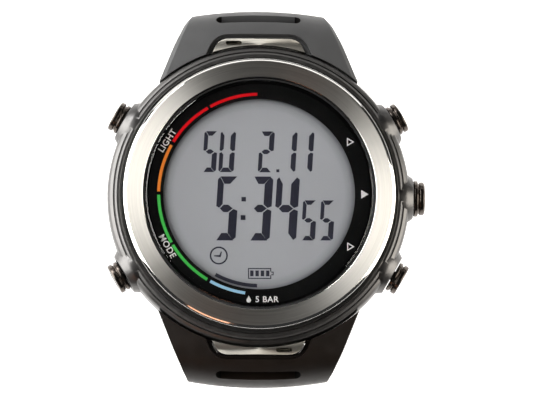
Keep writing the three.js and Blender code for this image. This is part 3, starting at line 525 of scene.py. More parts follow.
def printed(piece, material):
    """Ink on the dial, or a segment of the display, rides with the case."""
    made_of(piece, material)
    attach(piece, "case")


def flat(name, corners, low):
    """A mark as thin as print, drawn by its corners."""
    return drawn(name, corners, low, low + INK_THICKNESS)


def arc(name, inner, outer, start, end, low):
    """A flat band of ink round the dial, between two angles from twelve o'clock."""
    begin = math.radians(90 + start)
    out = Vector((math.cos(begin), math.sin(begin), 0))
    points = [out * inner + Vector((0, 0, low)), out * outer + Vector((0, 0, low))]
    piece = chain(name, points)
    bpy.ops.mesh.select_all(action="SELECT")
    bpy.ops.mesh.spin(
        steps=max(4, int((end - start) * 1.5)),
        angle=-math.radians(end - start),
        center=(0, 0, 0),
        axis=(0, 0, 1),
    )
    bpy.ops.mesh.select_all(action="SELECT")
    bpy.ops.mesh.extrude_region_move(
        TRANSFORM_OT_translate={"value": (0, 0, INK_THICKNESS * MM)}
    )
    return close_up(piece)


red_ink = ink("red ink", (0.82, 0.002, 0.008, 1))
orange_ink = ink("orange ink", (1.0, 0.28, 0.035, 1))
green_ink = ink("green ink", (0.07, 0.62, 0.1, 1))
blue_ink = ink("light blue ink", (0.42, 0.74, 0.98, 1))
white_ink = ink("white ink", (1.0, 1.0, 1.0, 1))
for name, start, end, colour in [
    ("red_arc_1", 1.2, 29.3, red_ink),
    ("red_arc_2", 30.9, 58.8, red_ink),
    ("orange_arc", 61.0, 88.9, orange_ink),
    ("green_arc_1", 90.8, 119.3, green_ink),
    ("green_arc_2", 120.9, 148.9, green_ink),
    ("blue_arc", 150.9, 171.9, blue_ink),
]:
    printed(arc(name, 16.45, 16.95, start, end, ring_top), colour)

ARROW_REACH = 17.52
arrow_corners = [(-0.6, -0.72), (0.62, 0), (-0.6, 0.72)]
for name, angle in [("arrow_up", 30), ("arrow_start", 0), ("arrow_down", -30)]:
    arrow = flat(name, arrow_corners, ring_top)
    if angle:
        hole = [(0.6 * (a + 0.2) - 0.2, 0.6 * b) for a, b in arrow_corners]
        shaped(arrow, [drawn("hole", hole, ring_top - 1, ring_top + 1)])
    settle(arrow, at(*polar(ARROW_REACH, angle)))
    printed(arrow, white_ink)


def lettering(name, words, height, x, y, turn, low):
    """A word or figure, centred on a point and turned, as thin as print."""
    bpy.ops.object.select_all(action="DESELECT")
    bpy.ops.object.text_add(location=(0, 0, 0))
    text = bpy.context.object
    text.data.body = words
    text.data.align_x = "CENTER"
    text.data.align_y = "CENTER"
    text.data.size = height * 1.42 * MM
    text.data.offset = 0.018 * MM
    text.data.extrude = INK_THICKNESS / 2 * MM
    text.data.space_character = 1.08
    bpy.ops.object.convert(target="MESH")
    text.name = text.data.name = name
    place = at(x, y, low + INK_THICKNESS / 2)
    return settle(text, place @ spun(turn))


WORD_REACH = 17.62
WORD_HEIGHT = 1.02
for name, words, angle, turn in [
    ("word_light", "LIGHT", 150, 57),
    ("word_mode", "MODE", 210, -60),
]:
    place = polar(WORD_REACH, angle)
    printed(lettering(name, words, WORD_HEIGHT, *place, turn, ring_top), white_ink)
printed(lettering("depth_rating", "5 BAR", 0.98, 1.25, -17.62, 0, ring_top), white_ink)
drop_outline = [(0, 0.62), (0.2, 0.25), (0.36, -0.02), (0.38, -0.26), (0.24, -0.46), (0, -0.54)]
drop_outline += [(-x, y) for x, y in reversed(drop_outline[1:-1])]
drop = flat("drop_mark", drop_outline, ring_top)
settle(drop, at(-1.75, -17.6))
printed(drop, white_ink)


# ------------------------ display
# The display is a grey reflective liquid crystal glass. Its dark segments stand just over the
# glass, which is where they look to be: a date row, the time, the seconds and three symbols.

lcd_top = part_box("lcd_panel")[1].z / MM
LCD_REACH = 16.2
lcd_grey = finish("reflective display grey", Base_Color=(0.37, 0.385, 0.41, 1), Roughness=0.45)
nodes, links = lcd_grey.node_tree.nodes, lcd_grey.node_tree.links
place = nodes.new("ShaderNodeTexCoord")
# Painted shadow: the display's grey darkens towards its rim, standing in for the shade the dial
# ring casts on it.
painted_rim_shadow = nodes.new("ShaderNodeValToRGB")
painted_rim_shadow.color_ramp.elements[0].position = 0.0
painted_rim_shadow.color_ramp.elements[0].color = (0.475, 0.49, 0.525, 1)
painted_rim_shadow.color_ramp.elements[1].position = 1.0
painted_rim_shadow.color_ramp.elements[1].color = (0.1, 0.104, 0.113, 1)
for position, colour in [(0.87, (0.46, 0.475, 0.51, 1)), (0.94, (0.36, 0.372, 0.4, 1))]:
    painted_rim_shadow.color_ramp.elements.new(position).color = colour
links.new(from_axis(lcd_grey, place, 1 / (LCD_REACH * MM)), painted_rim_shadow.inputs["Fac"])
links.new(painted_rim_shadow.outputs["Color"], nodes["Principled BSDF"].inputs["Base Color"])
made_of(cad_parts["lcd_panel"], lcd_grey)

segment_ink = finish("display segment", Base_Color=(0.011, 0.011, 0.03, 1), Roughness=0.5)
vary(
    segment_ink,
    texture(segment_ink, 700),
    "Base Color",
    (0.009, 0.009, 0.026, 1),
    (0.013, 0.013, 0.034, 1),
)
SLANT = math.tan(math.radians(3.6))
SEGMENTS_OF = {
    "1": "bc",
    "2": "abged",
    "3": "abgcd",
    "4": "fgbc",
    "5": "afgcd",
    "S": "afgcd",
    "U": "fbcde",
}


def digit(figure, left, right, low, high, thin, thick, across):
    """The lit segments of one slanted figure: thin down its left, thick down its right."""
    half, gap = across / 2, 0.1
    middle = (low + high) / 2
    inner_left, inner_right = left + thin, right - thick
    nip, shoulder = 0.22 * across, 0.4 * across
    left_tip, right_tip = left + 0.35 * thin, right - 0.35 * thick
    left_middle, right_middle = left + thin / 2, right - thick / 2
    outlines = {
        "a": [(left + gap + nip, high), (right - gap - nip, high)]
        + [(inner_right - gap, high - across), (inner_left + gap, high - across)],
        "g": [(left_middle + gap, middle), (inner_left + 2 * gap, middle + half)]
        + [(inner_right - 2 * gap, middle + half), (right_middle - gap, middle)]
        + [(inner_right - 2 * gap, middle - half), (inner_left + 2 * gap, middle - half)],
        "f": [(left, high - shoulder), (left_tip, high - gap), (inner_left, high - across)]
        + [(inner_left, middle + half + gap), (left_middle, middle + gap)]
        + [(left, middle + half * 0.6)],
        "b": [(right, high - shoulder), (right, middle + half * 0.6)]
        + [(right_middle, middle + gap), (inner_right, middle + half + gap)]
        + [(inner_right, high - across), (right_tip, high - gap)],
    }
    for upper, lower in ("ad", "fe", "bc"):
        outlines[lower] = [(x, low + high - y) for x, y in outlines[upper]]
    lit = []
    for segment in SEGMENTS_OF[figure]:
        slanted = [(x + (y - middle) * SLANT, y) for x, y in outlines[segment]]
        lit.append(flat("segment", slanted, lcd_top))
    return lit


def row(figures, *sizes):
    """The segments of a row of figures, each with its left and right side."""
    return [segment for figure in figures for segment in digit(*figure, *sizes)]


def shown(name, parts):
    """One group of lit segments on the display, which rides with the case."""
    piece = joined(parts, name)
    piece.data.name = name
    printed(piece, segment_ink)


def bar(left, right, low, high):
    """A square dot or bar of the display."""
    corners = [(left, low), (right, low), (right, high), (left, high)]
    return flat("bar", corners, lcd_top)


date = [("S", -9.3, -7.0), ("U", -6.6, -4.05), ("2", -0.05, 2.4), ("1", 3.0, 6.2)]
date += [("1", 5.9, 9.0)]
date_dots = [bar(2.85, 3.35, 3.72, 4.2)]
shown("display_date", row(date, 3.7, 10.55, 0.66, 0.84, 0.76) + date_dots)
time = [("5", -7.15, -3.6), ("3", -1.5, 2.05), ("4", 2.65, 6.45)]
colon = [bar(-2.95, -2.2, -1.2, -0.45), bar(-3.08, -2.28, -4.3, -3.5)]
shown("display_time", row(time, -7.72, 2.98, 1.02, 1.38, 1.24) + colon)
seconds = [("5", 7.1, 9.45), ("5", 10.1, 12.45)]
shown("display_seconds", row(seconds, -7.66, -0.97, 0.62, 0.88, 0.74))
clock_rim = [(1.24, lcd_top), (1.5, lcd_top)]
clock_rim += [(radius, lcd_top + INK_THICKNESS) for radius in (1.5, 1.24)]
clock_face = settle(turned("clock", clock_rim, 48, 0), at(-6.7, -10.25))
minute_hand = [(-6.38, -9.6), (-6.16, -9.6), (-6.38, -10.5), (-6.7, -10.5)]
hour_hand = [(-7.5, -10.22), (-7.5, -10.38), (-6.4, -10.52), (-6.6, -10.16)]
hands = [
    flat("hand", minute_hand, lcd_top),
    drawn("hand", hour_hand, lcd_top, lcd_top + 0.8 * INK_THICKNESS),
]
shown("display_clock", [clock_face] + hands)
battery_bars = [bar(x, x + 0.56, -13.68, -12.72) for x in (-1.5, -0.62, 0.26, 1.14)]
battery_sides = [(-1.85, 2.0, -12.48, -12.31), (-1.85, 2.0, -14.12, -13.95)]
battery_sides += [(-1.85, -1.68, -13.94, -12.49), (1.83, 2.0, -13.94, -13.5)]
battery_sides += [(1.83, 2.0, -12.9, -12.49), (2.01, 2.4, -13.06, -12.9)]
battery_sides += [(2.01, 2.4, -13.5, -13.34), (2.25, 2.4, -13.33, -13.07)]
shown("display_battery", battery_bars + [bar(*side) for side in battery_sides])
shown("display_zone", [arc("zone", 14.95, 15.55, 151.6, 178.7, lcd_top)])


# ------------------------ pushers
# Each pusher is a polished dark steel cap on a stem: two rolls with a groove between them. A
# clip holds it in from inside, and a coil spring round the stem pushes it out.

HEAD_BACK = 26.0
button_steel = coat(
    "dark polished steel", (0.1, 0.085, 0.075), 0.2, 1800, (0.16, 0.26), Metallic=1.0
)
spring_steel = coat(
    "spring wire", (0.5, 0.5, 0.49), 0.3, 3000, (0.22, 0.38), (1, 1, 0.2), Metallic=1.0
)
stem_outline = [
    (0, 18.6), (0.65, 18.6), (0.8, 18.75), (0.8, 18.85), (0.55, 18.85), (0.55, 19.3), (0.8, 19.3),
    (0.8, HEAD_BACK),
]
small_head = [
    (2.45, HEAD_BACK), (2.58, 26.12), (2.58, 26.5), (2.45, 26.62), (2.28, 26.64), (2.28, 26.86),
    (2.45, 26.9), (2.58, 27.0), (2.58, 27.55), (2.42, 27.72), (1.7, 27.74), (1.6, 27.66),
    (0, 27.64),
]
start_head = [
    (2.9, HEAD_BACK), (3.02, 26.12), (3.02, 26.54), (2.9, 26.66), (2.55, 26.68), (2.55, 26.9),
    (2.7, 26.94), (2.78, 27.06), (2.78, 27.56), (2.52, 27.8), (1.95, 27.8), (1.85, 27.72),
    (0, 27.7),
]
foot, length, turns, wire = 22.8, 3.08, 4, 0.175
for button, angle in BUTTON_ANGLES.items():
    node = f"{button}_button"
    head = start_head if button == "start" else small_head
    placing = outward(angle, BUTTON_LINE)
    pusher = settle(turned(f"{button}_pusher", stem_outline + head, 96, 0.06), placing)
    fitted(smoothed(pusher), button_steel, node, node)

    bpy.ops.object.select_all(action="DESELECT")
    bpy.ops.mesh.primitive_circle_add(
        vertices=12,
        radius=wire * MM,
        location=(1.4 * MM, 0, (foot + wire) * MM),
        rotation=(math.pi / 2, 0, 0),
    )
    spring = bpy.context.object
    spring.name = spring.data.name = f"{button}_coil"
    settle(spring)
    with_modifier(
        spring,
        "SCREW",
        axis="Z",
        angle=math.tau,
        screw_offset=(length - 2 * wire) / turns * MM,
        iterations=turns,
        steps=36,
        use_merge_vertices=False,
    )
    bpy.ops.object.mode_set(mode="EDIT")
    bpy.ops.mesh.select_all(action="SELECT")
    bpy.ops.mesh.fill_holes(sides=12)
    close_up(spring)
    settle(spring, placing)
    fitted(smoothed(spring, 60), spring_steel, "case", f"{button}_button_spring")
    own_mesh(spring)


# ------------------------ case back
# The back is a turned steel plate, brushed round, held by four slotted screws. A port in it
# leads to the pressure sensor, and a wide opening in its middle takes the battery hatch.

back_steel = brushed_round("brushed back steel", (0.62, 0.61, 0.59, 1), 0.42, 260)
case_back = turned(
    "back_plate",
    [(10.5, 1.1), (11.5, 1.1), (11.5, 0.0), (12.6, 0.0), (12.75, 0.12), (12.95, 0.12)]
    + [(13.1, 0.0), (16.9, 0.0), (17.0, 0.06), (20.1, 0.06), (20.2, 0.0), (20.85, 0.0)]
    + [(21.15, 0.3), (21.15, 1.4), (20.85, 1.4), (20.85, 0.95), (20.15, 0.95), (20.15, 1.4)]
    + [(12.6, 1.4), (12.6, 1.7), (10.5, 1.7)],
    steps=256,
    rounding=0.06,
)
back_holes = []
for x, y in screw_places:
    hole = [(0, -1), (1.4, -1), (1.4, 0.85), (0.9, 0.85), (0.9, 3), (0, 3)]
    back_holes.append(settle(turned("hole", hole, 48, 0), at(x, y)))
sensor_port = [(0, -1), (0.95, -1), (0.95, 0.12), (0.8, 0.27), (0.8, 3), (0, 3)]
back_holes.append(settle(turned("hole", sensor_port, 48, 0), at(0, 14.9)))
shaped(case_back, back_holes)
fitted(smoothed(case_back), back_steel, "case", "case_back")

screw_steel = coat("screw steel", (0.55, 0.55, 0.54), 0.24, 2200, (0.18, 0.34), Metallic=1.0)
screw_outline = [
    (0, 0.15), (0.95, 0.15), (1.1, 0.3), (1.1, 0.7), (0.6, 0.7), (0.6, 5.6), (0.45, 5.8),
    (0, 5.8),
]


def slot_tool(length, width, low, high, turn):
    """A rectangular cutter for a driver's slot, turned about Z by some degrees."""
    sides = [(-length / 2, -width / 2), (length / 2, -width / 2)]
    sides += [(length / 2, width / 2), (-length / 2, width / 2)]
    return settle(drawn("slot", sides, low, high), spun(turn))


for i, (x, y) in enumerate(screw_places, 1):
    screw = turned(f"back_screw_{i}", screw_outline, 48, 0.05)
    shaped(screw, [slot_tool(4, 0.32, -1, 0.42, 35 * i)])
    settle(screw, at(x, y))
    fitted(smoothed(screw), screw_steel, "case", f"case_back_screw_{i}")


# ------------------------ battery hatch
# The hatch is a turned steel cap with a rounded coin slot. It turns a sixth of the way round
# to free its three bayonet lugs from under the back's flange.

hatch = turned(
    "hatch_cap",
    [(0, 0.1), (7.6, 0.1), (7.7, 0.2), (7.9, 0.2), (8.0, 0.1), (10.95, 0.1), (11.2, 0.35)]
    + [(11.2, 0.8), (10.2, 0.8), (10.2, 1.05), (9.6, 1.05), (9.6, 1.75), (10.2, 1.75)]
    + [(10.2, 2.6), (0, 2.6)],
    steps=192,
    rounding=0.06,
)
LUG_OUTSIDE, LUG_INSIDE = 11.0, 9.4
lugs = []
for angle in (0, 120, 240):
    lug = [polar(LUG_OUTSIDE, angle + turn) for turn in range(-15, 16, 3)]
    lug += [polar(LUG_INSIDE, angle + turn) for turn in range(15, -16, -3)]
    lugs.append(drawn("lug", lug, 2.0, 2.58))
shaped(hatch, lugs, "UNION")


def slot_outline(length, width):
    """A slot with round ends, its length along X."""
    outline = []
    for end, start in ((1, -90), (-1, 90)):
        for turn in range(0, 181, 15):
            x, y = polar(width / 2, start + turn)
            outline.append((end * (length - width) / 2 + x, y))
    return outline


shaped(hatch, [drawn("slot", slot_outline(9.0, 1.5), -1, 0.6)])
fitted(smoothed(hatch), back_steel, "battery_hatch", "battery_hatch")


# ------------------------ strap
# The strap is moulded in two halves of satin black resin: crowned outside, flat inside, with a
# bevel down each edge. Each is modelled flat and then laid along the line of the wrist.

STRAP_START = (19.0, 10.24, 8.0)
# Each run is a straight's length or an arc's radius, and the heading in degrees at its end.
ROOT_LENGTH = 6.4
UPPER_RUNS = [(ROOT_LENGTH, 8.0), (7.2, 92.0), (200, 100.0), (13, 165.0), (22, 165.0)]
LOWER_RUNS = [(ROOT_LENGTH, 8.0), (7.2, 97.0), (500, 102.4), (25, 180.0), (60, 203.0)]
# The distance from the root, and the strap's width and thickness there.
STRAP_SIZES = [(0, 33.7, 7.0), (ROOT_LENGTH, 28.6, 5.5), (10, 26.0, 4.7), (13.5, 24.0, 3.9)]
STRAP_SIZES += [(17, 23.0, 3.8), (30, 20.0, 3.3)]
CROWN = 1.0
# Between these distances, the upper half swells out at its bend.
SWELL_START, SWELL_END = 4.0, 27.0


def walk(runs, distance):
    """The (y, z, heading) at a distance along a strap's line of straights and arcs."""
    y, z, degrees = STRAP_START
    heading = math.radians(degrees)
    for size, to in runs:
        end = math.radians(to)
        turning = abs(end - heading) > 1e-9
        part = min(distance, size * (end - heading) if turning else size)
        if turning:
            last = heading + part / size
            y += size * (math.sin(last) - math.sin(heading))
            z -= size * (math.cos(heading) - math.cos(last))
            heading = last
        else:
            y += part * math.cos(heading)
            z -= part * math.sin(heading)
        distance -= part
        if distance <= 0:
            break
    return y, z, heading


def line_length(runs):
    """The length of a strap's line."""
    total, heading = 0.0, math.radians(STRAP_START[2])
    for size, to in runs:
        end = math.radians(to)
        total += size * (end - heading) if abs(end - heading) > 1e-9 else size
        heading = end
    return total


def on_strap(runs, distance, depth=0.0):
    """The placing on a strap: Y goes along it and Z out of its outer face."""
    y, z, heading = walk(runs, distance)
    place = Vector((0, y + depth * math.sin(heading), z + depth * math.cos(heading)))
    return Matrix.Translation(place * MM) @ Matrix.Rotation(-heading, 4, "X")


def strap_size(distance, end, end_thickness):
    """The strap's width and thickness at a distance from its root."""
    stops = STRAP_SIZES + [(end, STRAP_SIZES[-1][1], end_thickness)]
    for (d0, w0, t0), (d1, w1, t1) in zip(stops, stops[1:]):
        if distance <= d1:
            break
    t = min(1.0, max(0.0, (distance - d0) / (d1 - d0)))
    return w0 + (w1 - w0) * t, t0 + (t1 - t0) * t


def narrowed(distance, end, tip):
    """How much of its width the strap keeps at a distance, where its tip is round."""
    into = distance - (end - tip)
    return math.sqrt(max(0.0, 1 - (into / tip) ** 2)) if tip and into > 0 else 1.0


def flat_strap(name, end, end_thickness, tip=0.0):
    """The strap half as it leaves the mould, straight along Y with its outer face at z 0."""
    width, thick = strap_size(0, end, end_thickness)
    bpy.ops.object.select_all(action="DESELECT")
    bpy.ops.mesh.primitive_grid_add(x_subdivisions=16, y_subdivisions=3, size=1)
    strap = bpy.context.object
    strap.name = strap.data.name = name
    bpy.ops.object.mode_set(mode="EDIT")
    bpy.ops.transform.resize(value=(width * MM, thick * MM, 1))
    bpy.ops.transform.rotate(
        value=-math.pi / 2, orient_axis="X", orient_type="GLOBAL", center_override=(0, 0, 0)
    )
    bpy.ops.transform.translate(value=(0, 0, -thick / 2 * MM))
    steps = [0.75 * i for i in range(1, int((end - tip) / 0.75))] + [end - tip]
    steps += [end - tip + tip * math.sin(math.radians(a)) for a in range(6, 88, 6)] if tip else []
    here, was_wide, was_thick = 0.0, width, thick
    for distance in steps:
        wide, thick = strap_size(distance, end, end_thickness)
        wide *= narrowed(distance, end, tip)
        bpy.ops.mesh.extrude_region_move(
            TRANSFORM_OT_translate={"value": (0, (distance - here) * MM, 0)}
        )
        bpy.ops.transform.resize(
            value=(wide / was_wide, 1, thick / was_thick), center_override=(0, distance * MM, 0)
        )
        here, was_wide, was_thick = distance, wide, thick
    return close_up(strap)


def laid(strap, runs, end, end_thickness, tip=0.0, swell=0.0):
    """Crowns a flat strap half, swells its bend and lays it along its line."""
    for vertex in strap.data.vertices:
        x, distance, height = vertex.co / MM
        wide, thick = strap_size(distance, end, end_thickness)
        keep = narrowed(distance, end, tip)
        across = min(1.0, abs(x) / (wide / 2 * max(keep, 0.05)))
        share = min(1.0, max(0.0, 1 + height / thick))
        height -= CROWN * keep * across**2 * share
        into = (distance - SWELL_START) / (SWELL_END - SWELL_START)
        if 0 < into < 1:
            height += swell * math.sin(math.pi * into) ** 2 * share
        y, z, heading = walk(runs, distance)
        y += height * math.sin(heading)
        z += height * math.cos(heading)
        vertex.co = Vector((x, y, z)) * MM
    strap.data.update()
    return strap


def groove_faces(strap, runs):
    """The faces of a laid strap that lie inside the groove across its bend."""
    into_groove = on_strap(runs, GROOVE_AT).inverted()
    for face in strap.data.polygons:
        x, along, out = into_groove @ face.center / MM
        if abs(x) <= GROOVE_LENGTH / 2 and abs(along) <= 0.55 * GROOVE_WIDTH:
            if -1.2 * GROOVE_DEPTH < out < -0.25 * GROOVE_DEPTH:
                yield face


def mirrored(side):
    """A closed outline from its right-hand side, which runs from the case outwards."""
    return side + [(-x, y) for x, y in reversed(side)]


LINK_SIDE = [(9.9, 0), (8.0, PIN_LINE), (7.2, 25.3), (6.8, 25.85), (6.2, 26.25), (5.5, 26.45)]
LINK_SIDE += [(4.8, 26.5)]
LINK_GAP = 0.15
NOTCH_SIDE = [(10.9, 0), (9.0, PIN_LINE), (8.1, 25.6), (7.6, 26.3), (6.9, 26.9), (6.1, 27.28)]
NOTCH_SIDE += [(5.2, 27.4)]
NOTCH_SLOPE, NOTCH_PIVOT = 12, 25.6
TENON_LINE, TENON_HEIGHT = 26.35, 4.2
STRAP_INNER_RADIUS = 25.4


def link_outline(gap=0.0):
    """The end link in plan, or with a gap the opening that it fills."""
    return mirrored([(x + gap, y + gap) for x, y in LINK_SIDE])


def notch_step(runs):
    """The cutter for the sunk step round the end link, tipped to the strap's slope."""
    tool = drawn("step", mirrored(NOTCH_SIDE), -1.4, 3.0)
    slope = spun(-NOTCH_SLOPE, "X")
    pivot = Vector((0, NOTCH_PIVOT, walk(runs, ROOT_LENGTH)[1])) * MM
    return settle(tool, Matrix.Translation(pivot) @ slope @ at(0, -NOTCH_PIVOT))


def resin(name, dark, light, roughness, gloss=0.5):
    """Moulded strap resin: satin, very finely pebbled and a little uneven."""
    material = finish(
        name, Base_Color=dark, Roughness=roughness, IOR=1.5, Specular_IOR_Level=gloss
    )
    uneven = texture(material, 220, Detail=5)
    vary(material, uneven, "Base Color", dark, light)
    patches = texture(material, 500)
    vary(material, patches, "Roughness", roughness - 0.05, roughness + 0.05)
    roughen(material, texture(material, 4500, Detail=2), 0.35, 0.02)
    return material


# Both halves are the same black resin. Painted light: the upper half gets a lighter grey copy,
# painted lit. The lower half gets a darker, warm copy, painted in shade.
lit_strap_resin = resin("strap resin painted lit", (0.045, 0.0455, 0.047, 1), (0.054, 0.0545, 0.056, 1), 0.5)
shaded_strap_resin = resin(
    "strap resin painted in warm shade", (0.0055, 0.0036, 0.0027, 1), (0.0085, 0.0054, 0.0038, 1), 0.42, 0.24
)
link_steel = brushed_round("satin link steel", (0.56, 0.54, 0.49, 1), 0.6, 90, 0.0)
# Painted shade: the groove's walls get a near-black copy of the resin, standing in for the shadow
# deep in the groove.
painted_groove_shadow = resin(
    "painted groove shadow resin", (0.003, 0.0028, 0.0027, 1), (0.004, 0.0037, 0.0035, 1), 0.6, 0.1
)
GROOVE_AT, GROOVE_LENGTH, GROOVE_WIDTH, GROOVE_DEPTH = 11.8, 14.2, 1.9, 2.2

UPPER_END = line_length(UPPER_RUNS)
LOWER_END = line_length(LOWER_RUNS)
BAR_AT = UPPER_END - 1.8
BAR_DEPTH = -1.65
on_bar = on_strap(UPPER_RUNS, BAR_AT, BAR_DEPTH)
TURN_ROUND = spun(180)


def rod(name, radius, half, rounding=0.08):
    """A plain turned rod along X, centred on the origin."""
    outline = [(0, -half), (radius, -half), (radius, half), (0, half)]
    return settle(turned(name, outline, 48, rounding), spun(90, "Y"))


def root_cutters():
    """What the case and the strap pin take out of a strap half's root."""
    case_hole = plug(STRAP_INNER_RADIUS, -1, 20, 256)
    pin_hole = rod("hole", 1.05, 25, 0)
    return case_hole, settle(pin_hole, at(0, PIN_LINE, PIN_HEIGHT))


for half, runs, end, end_thickness, tip, swell, material in [
    ("upper", UPPER_RUNS, UPPER_END, 3.3, 0.0, 0.6, lit_strap_resin),
    ("lower", LOWER_RUNS, LOWER_END, 2.8, 10.0, 0.0, shaded_strap_resin),
]:
    strap = flat_strap(f"{half}_strap_half", end, end_thickness, tip)
    blank = flat_strap("blank", end, end_thickness, tip)
    groove = drawn("groove", slot_outline(GROOVE_LENGTH, GROOVE_WIDTH), -GROOVE_DEPTH, 2)
    cutters = [settle(groove, at(0, GROOVE_AT))]
    if half == "upper":
        tongue_slot = drawn("slot", [(-1.8, -4), (1.8, -4), (1.8, 9), (-1.8, 9)], -9, 9)
        cutters.append(settle(tongue_slot, at(0, BAR_AT)))
        cutters.append(settle(rod("hole", 0.9, 25, 0), at(0, BAR_AT, BAR_DEPTH)))
    else:
        for i in range(8):
            cutters.append(settle(plug(1.2, -9, 9), at(0, end - 13 - 6.5 * i)))
    bevelled(strap, 0.7, 1, 60)
    bevelled(strap, 0.12, 2, 30)
    shaped(strap, cutters)
    laid(strap, runs, end, end_thickness, tip, swell)
    case_hole, pin_hole = root_cutters()
    notch = drawn("notch", link_outline(LINK_GAP), -1, 20)
    head_bores = []
    for side in (1, -1):
        place = at(0, PIN_LINE, PIN_HEIGHT) @ spun(side * 90, "Y")
        head_bores.append(settle(plug(1.8, 12.5, 24, 48), place))
    for tools in ([case_hole], [notch], [notch_step(runs)], head_bores + [pin_hole]):
        shaped(strap, tools)
    tenon_place = at(0, TENON_LINE, TENON_HEIGHT)
    shaped(strap, [settle(rod("hole", 0.85, 8.9, 0), tenon_place)])
    smoothed(strap, 30)

    laid(blank, runs, end, end_thickness, tip, swell)
    link = drawn("link", link_outline(), 3.0, 20)
    link.name = link.data.name = f"{half}_end_link"
    shaped(link, [blank], "INTERSECT")
    for tool in root_cutters():
        shaped(link, [tool])
    bevelled(link, 0.12, 2, 40)
    shaped(link, [settle(rod("tenon", 0.55, 8.6, 0.05), tenon_place)], "UNION")
    top = walk(UPPER_RUNS, ROOT_LENGTH)[1]
    recess = drawn("recess", slot_outline(2.7, 0.75), top - 3, top + 3)
    shaped(link, [settle(recess, at(-4.2, 25.75))])
    line = [(26.05, top - 0.1), (26.15, top - 0.1), (26.15, top + 3), (26.05, top + 3)]
    shaped(link, [turned("line", line, 192, 0)])
    smoothed(link, 30)

    pin_end = 13.9
    pin_outline = [(0, -pin_end), (1.5, -pin_end), (1.5, 1.1 - pin_end), (0.75, 1.1 - pin_end)]
    pin_outline += [(radius, -height) for radius, height in reversed(pin_outline)]
    pin = turned("pin", pin_outline, 64, 0.1)
    pin.name = pin.data.name = f"{half}_strap_pin"
    slots = []
    for low, high in ((pin_end - 0.4, pin_end + 1), (-pin_end - 1, 0.4 - pin_end)):
        slots.append(slot_tool(4, 0.4, low, high, 90))
    shaped(pin, slots)
    settle(pin, along_x(0, PIN_LINE, PIN_HEIGHT))
    smoothed(pin)

    for piece, node, steel, slot in [
        (strap, f"strap_{half}", material, f"{half}_resin"),
        (link, f"end_link_{half}", link_steel, "link_steel"),
        (pin, f"strap_pin_{half}", screw_steel, "screw_steel"),
    ]:
        made_of(piece, steel)
        if piece is strap:
            # The faces deep in the groove take the painted shade.
            strap.data.materials.append(painted_groove_shadow)
            for face in groove_faces(strap, runs):
                face.material_index = 1
        if half == "lower":
            settle(piece, TURN_ROUND)
        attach(piece, f"strap_{half}")
        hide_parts(node)


# ------------------------ keepers
# Two moulded loops hold the strap's tail: the fixed one is bonded behind the buckle, and the
# other slides along the strap between them.

keeper_resin = resin("keeper resin", (0.02, 0.02, 0.021, 1), (0.028, 0.028, 0.029, 1), 0.42)
INSIDE_HALF, INSIDE_LOW, INSIDE_HIGH, KEEPER_WALL = 10.35, -3.6, 3.15, 1.3


def rounded_box(name, half, low, high, length, radius):
    """A bar along Y whose four long edges are rounded."""
    bpy.ops.object.select_all(action="DESELECT")
    bpy.ops.mesh.primitive_cube_add(size=1)
    box = bpy.context.object
    box.name = box.data.name = name
    bpy.ops.object.mode_set(mode="EDIT")
    bpy.ops.transform.resize(value=(2 * half * MM, length * MM, (high - low) * MM))
    bpy.ops.transform.translate(value=(0, 0, (low + high) / 2 * MM))
    bpy.ops.mesh.select_mode(type="EDGE")
    bpy.ops.mesh.select_all(action="DESELECT")
    bpy.ops.object.mode_set(mode="OBJECT")
    for edge in box.data.edges:
        first, last = (box.data.vertices[i].co for i in edge.vertices)
        edge.select = abs(first.y - last.y) > 0.5 * length * MM
    bpy.ops.object.mode_set(mode="EDIT")
    bpy.ops.mesh.bevel(offset=radius * MM, segments=6, affect="EDGES")
    bpy.ops.mesh.select_mode(type="VERT")
    return close_up(box)


for node, behind, length, body in [
    ("fixed_keeper", 5.4, 5.5, "strap_upper"),
    ("sliding_keeper", 12.2, 5.0, "sliding_keeper"),
]:
    outside = (INSIDE_HALF + KEEPER_WALL, INSIDE_LOW - KEEPER_WALL, INSIDE_HIGH + KEEPER_WALL)
    keeper = rounded_box(f"{node}_loop", *outside, length, 1.6)
    hollow = rounded_box("hollow", INSIDE_HALF, INSIDE_LOW, INSIDE_HIGH, length + 4, 0.25)
    shaped(keeper, [hollow])
    bevelled(keeper, 0.3, 3, 50)
    if node == "sliding_keeper":
        for ridge in (-1.0, 1.0):
            ribs = drawn("line", slot_outline(15, 0.5), INSIDE_HIGH + KEEPER_WALL - 0.2, 9)
            shaped(keeper, [settle(ribs, at(0, ridge))])
    settle(keeper, on_strap(UPPER_RUNS, BAR_AT - behind))
    fitted(smoothed(keeper, 30), keeper_resin, body, node)


# ------------------------ buckle
# A brushed steel frame and tongue turn together on a bar through the strap's end. The frame
# is a rounded U, and the tongue's tip rests on its cross bar.

buckle_steel = finish(
    "brushed buckle steel",
    Base_Color=(0.6, 0.59, 0.57, 1),
    Metallic=1.0,
    Roughness=0.28,
    Anisotropic=0.5,
)
brushing = texture(buckle_steel, 300, stretch=(0.15, 14, 14), Detail=3)
vary(buckle_steel, brushing, "Roughness", 0.2, 0.36)
roughen(buckle_steel, brushing, 0.2, 0.01)
ARM_INSIDE, ARM_OUTSIDE, FRAME_LENGTH, FRAME_ARM, FRAME_HALF = 10.6, 13.0, 14.6, 2.4, 1.4
OUTER_CORNER, INNER_CORNER = 4, 1.2
frame_outline = [(ARM_INSIDE, -1.7), (ARM_OUTSIDE, -1.7)]
for turn in range(0, 91, 9):
    x, y = polar(OUTER_CORNER, turn)
    frame_outline.append((ARM_OUTSIDE - OUTER_CORNER + x, FRAME_LENGTH - OUTER_CORNER + y))
inner = []
for turn in range(0, 91, 15):
    x, y = polar(INNER_CORNER, turn)
    inner.append((ARM_INSIDE - INNER_CORNER + x, FRAME_LENGTH - FRAME_ARM - INNER_CORNER + y))
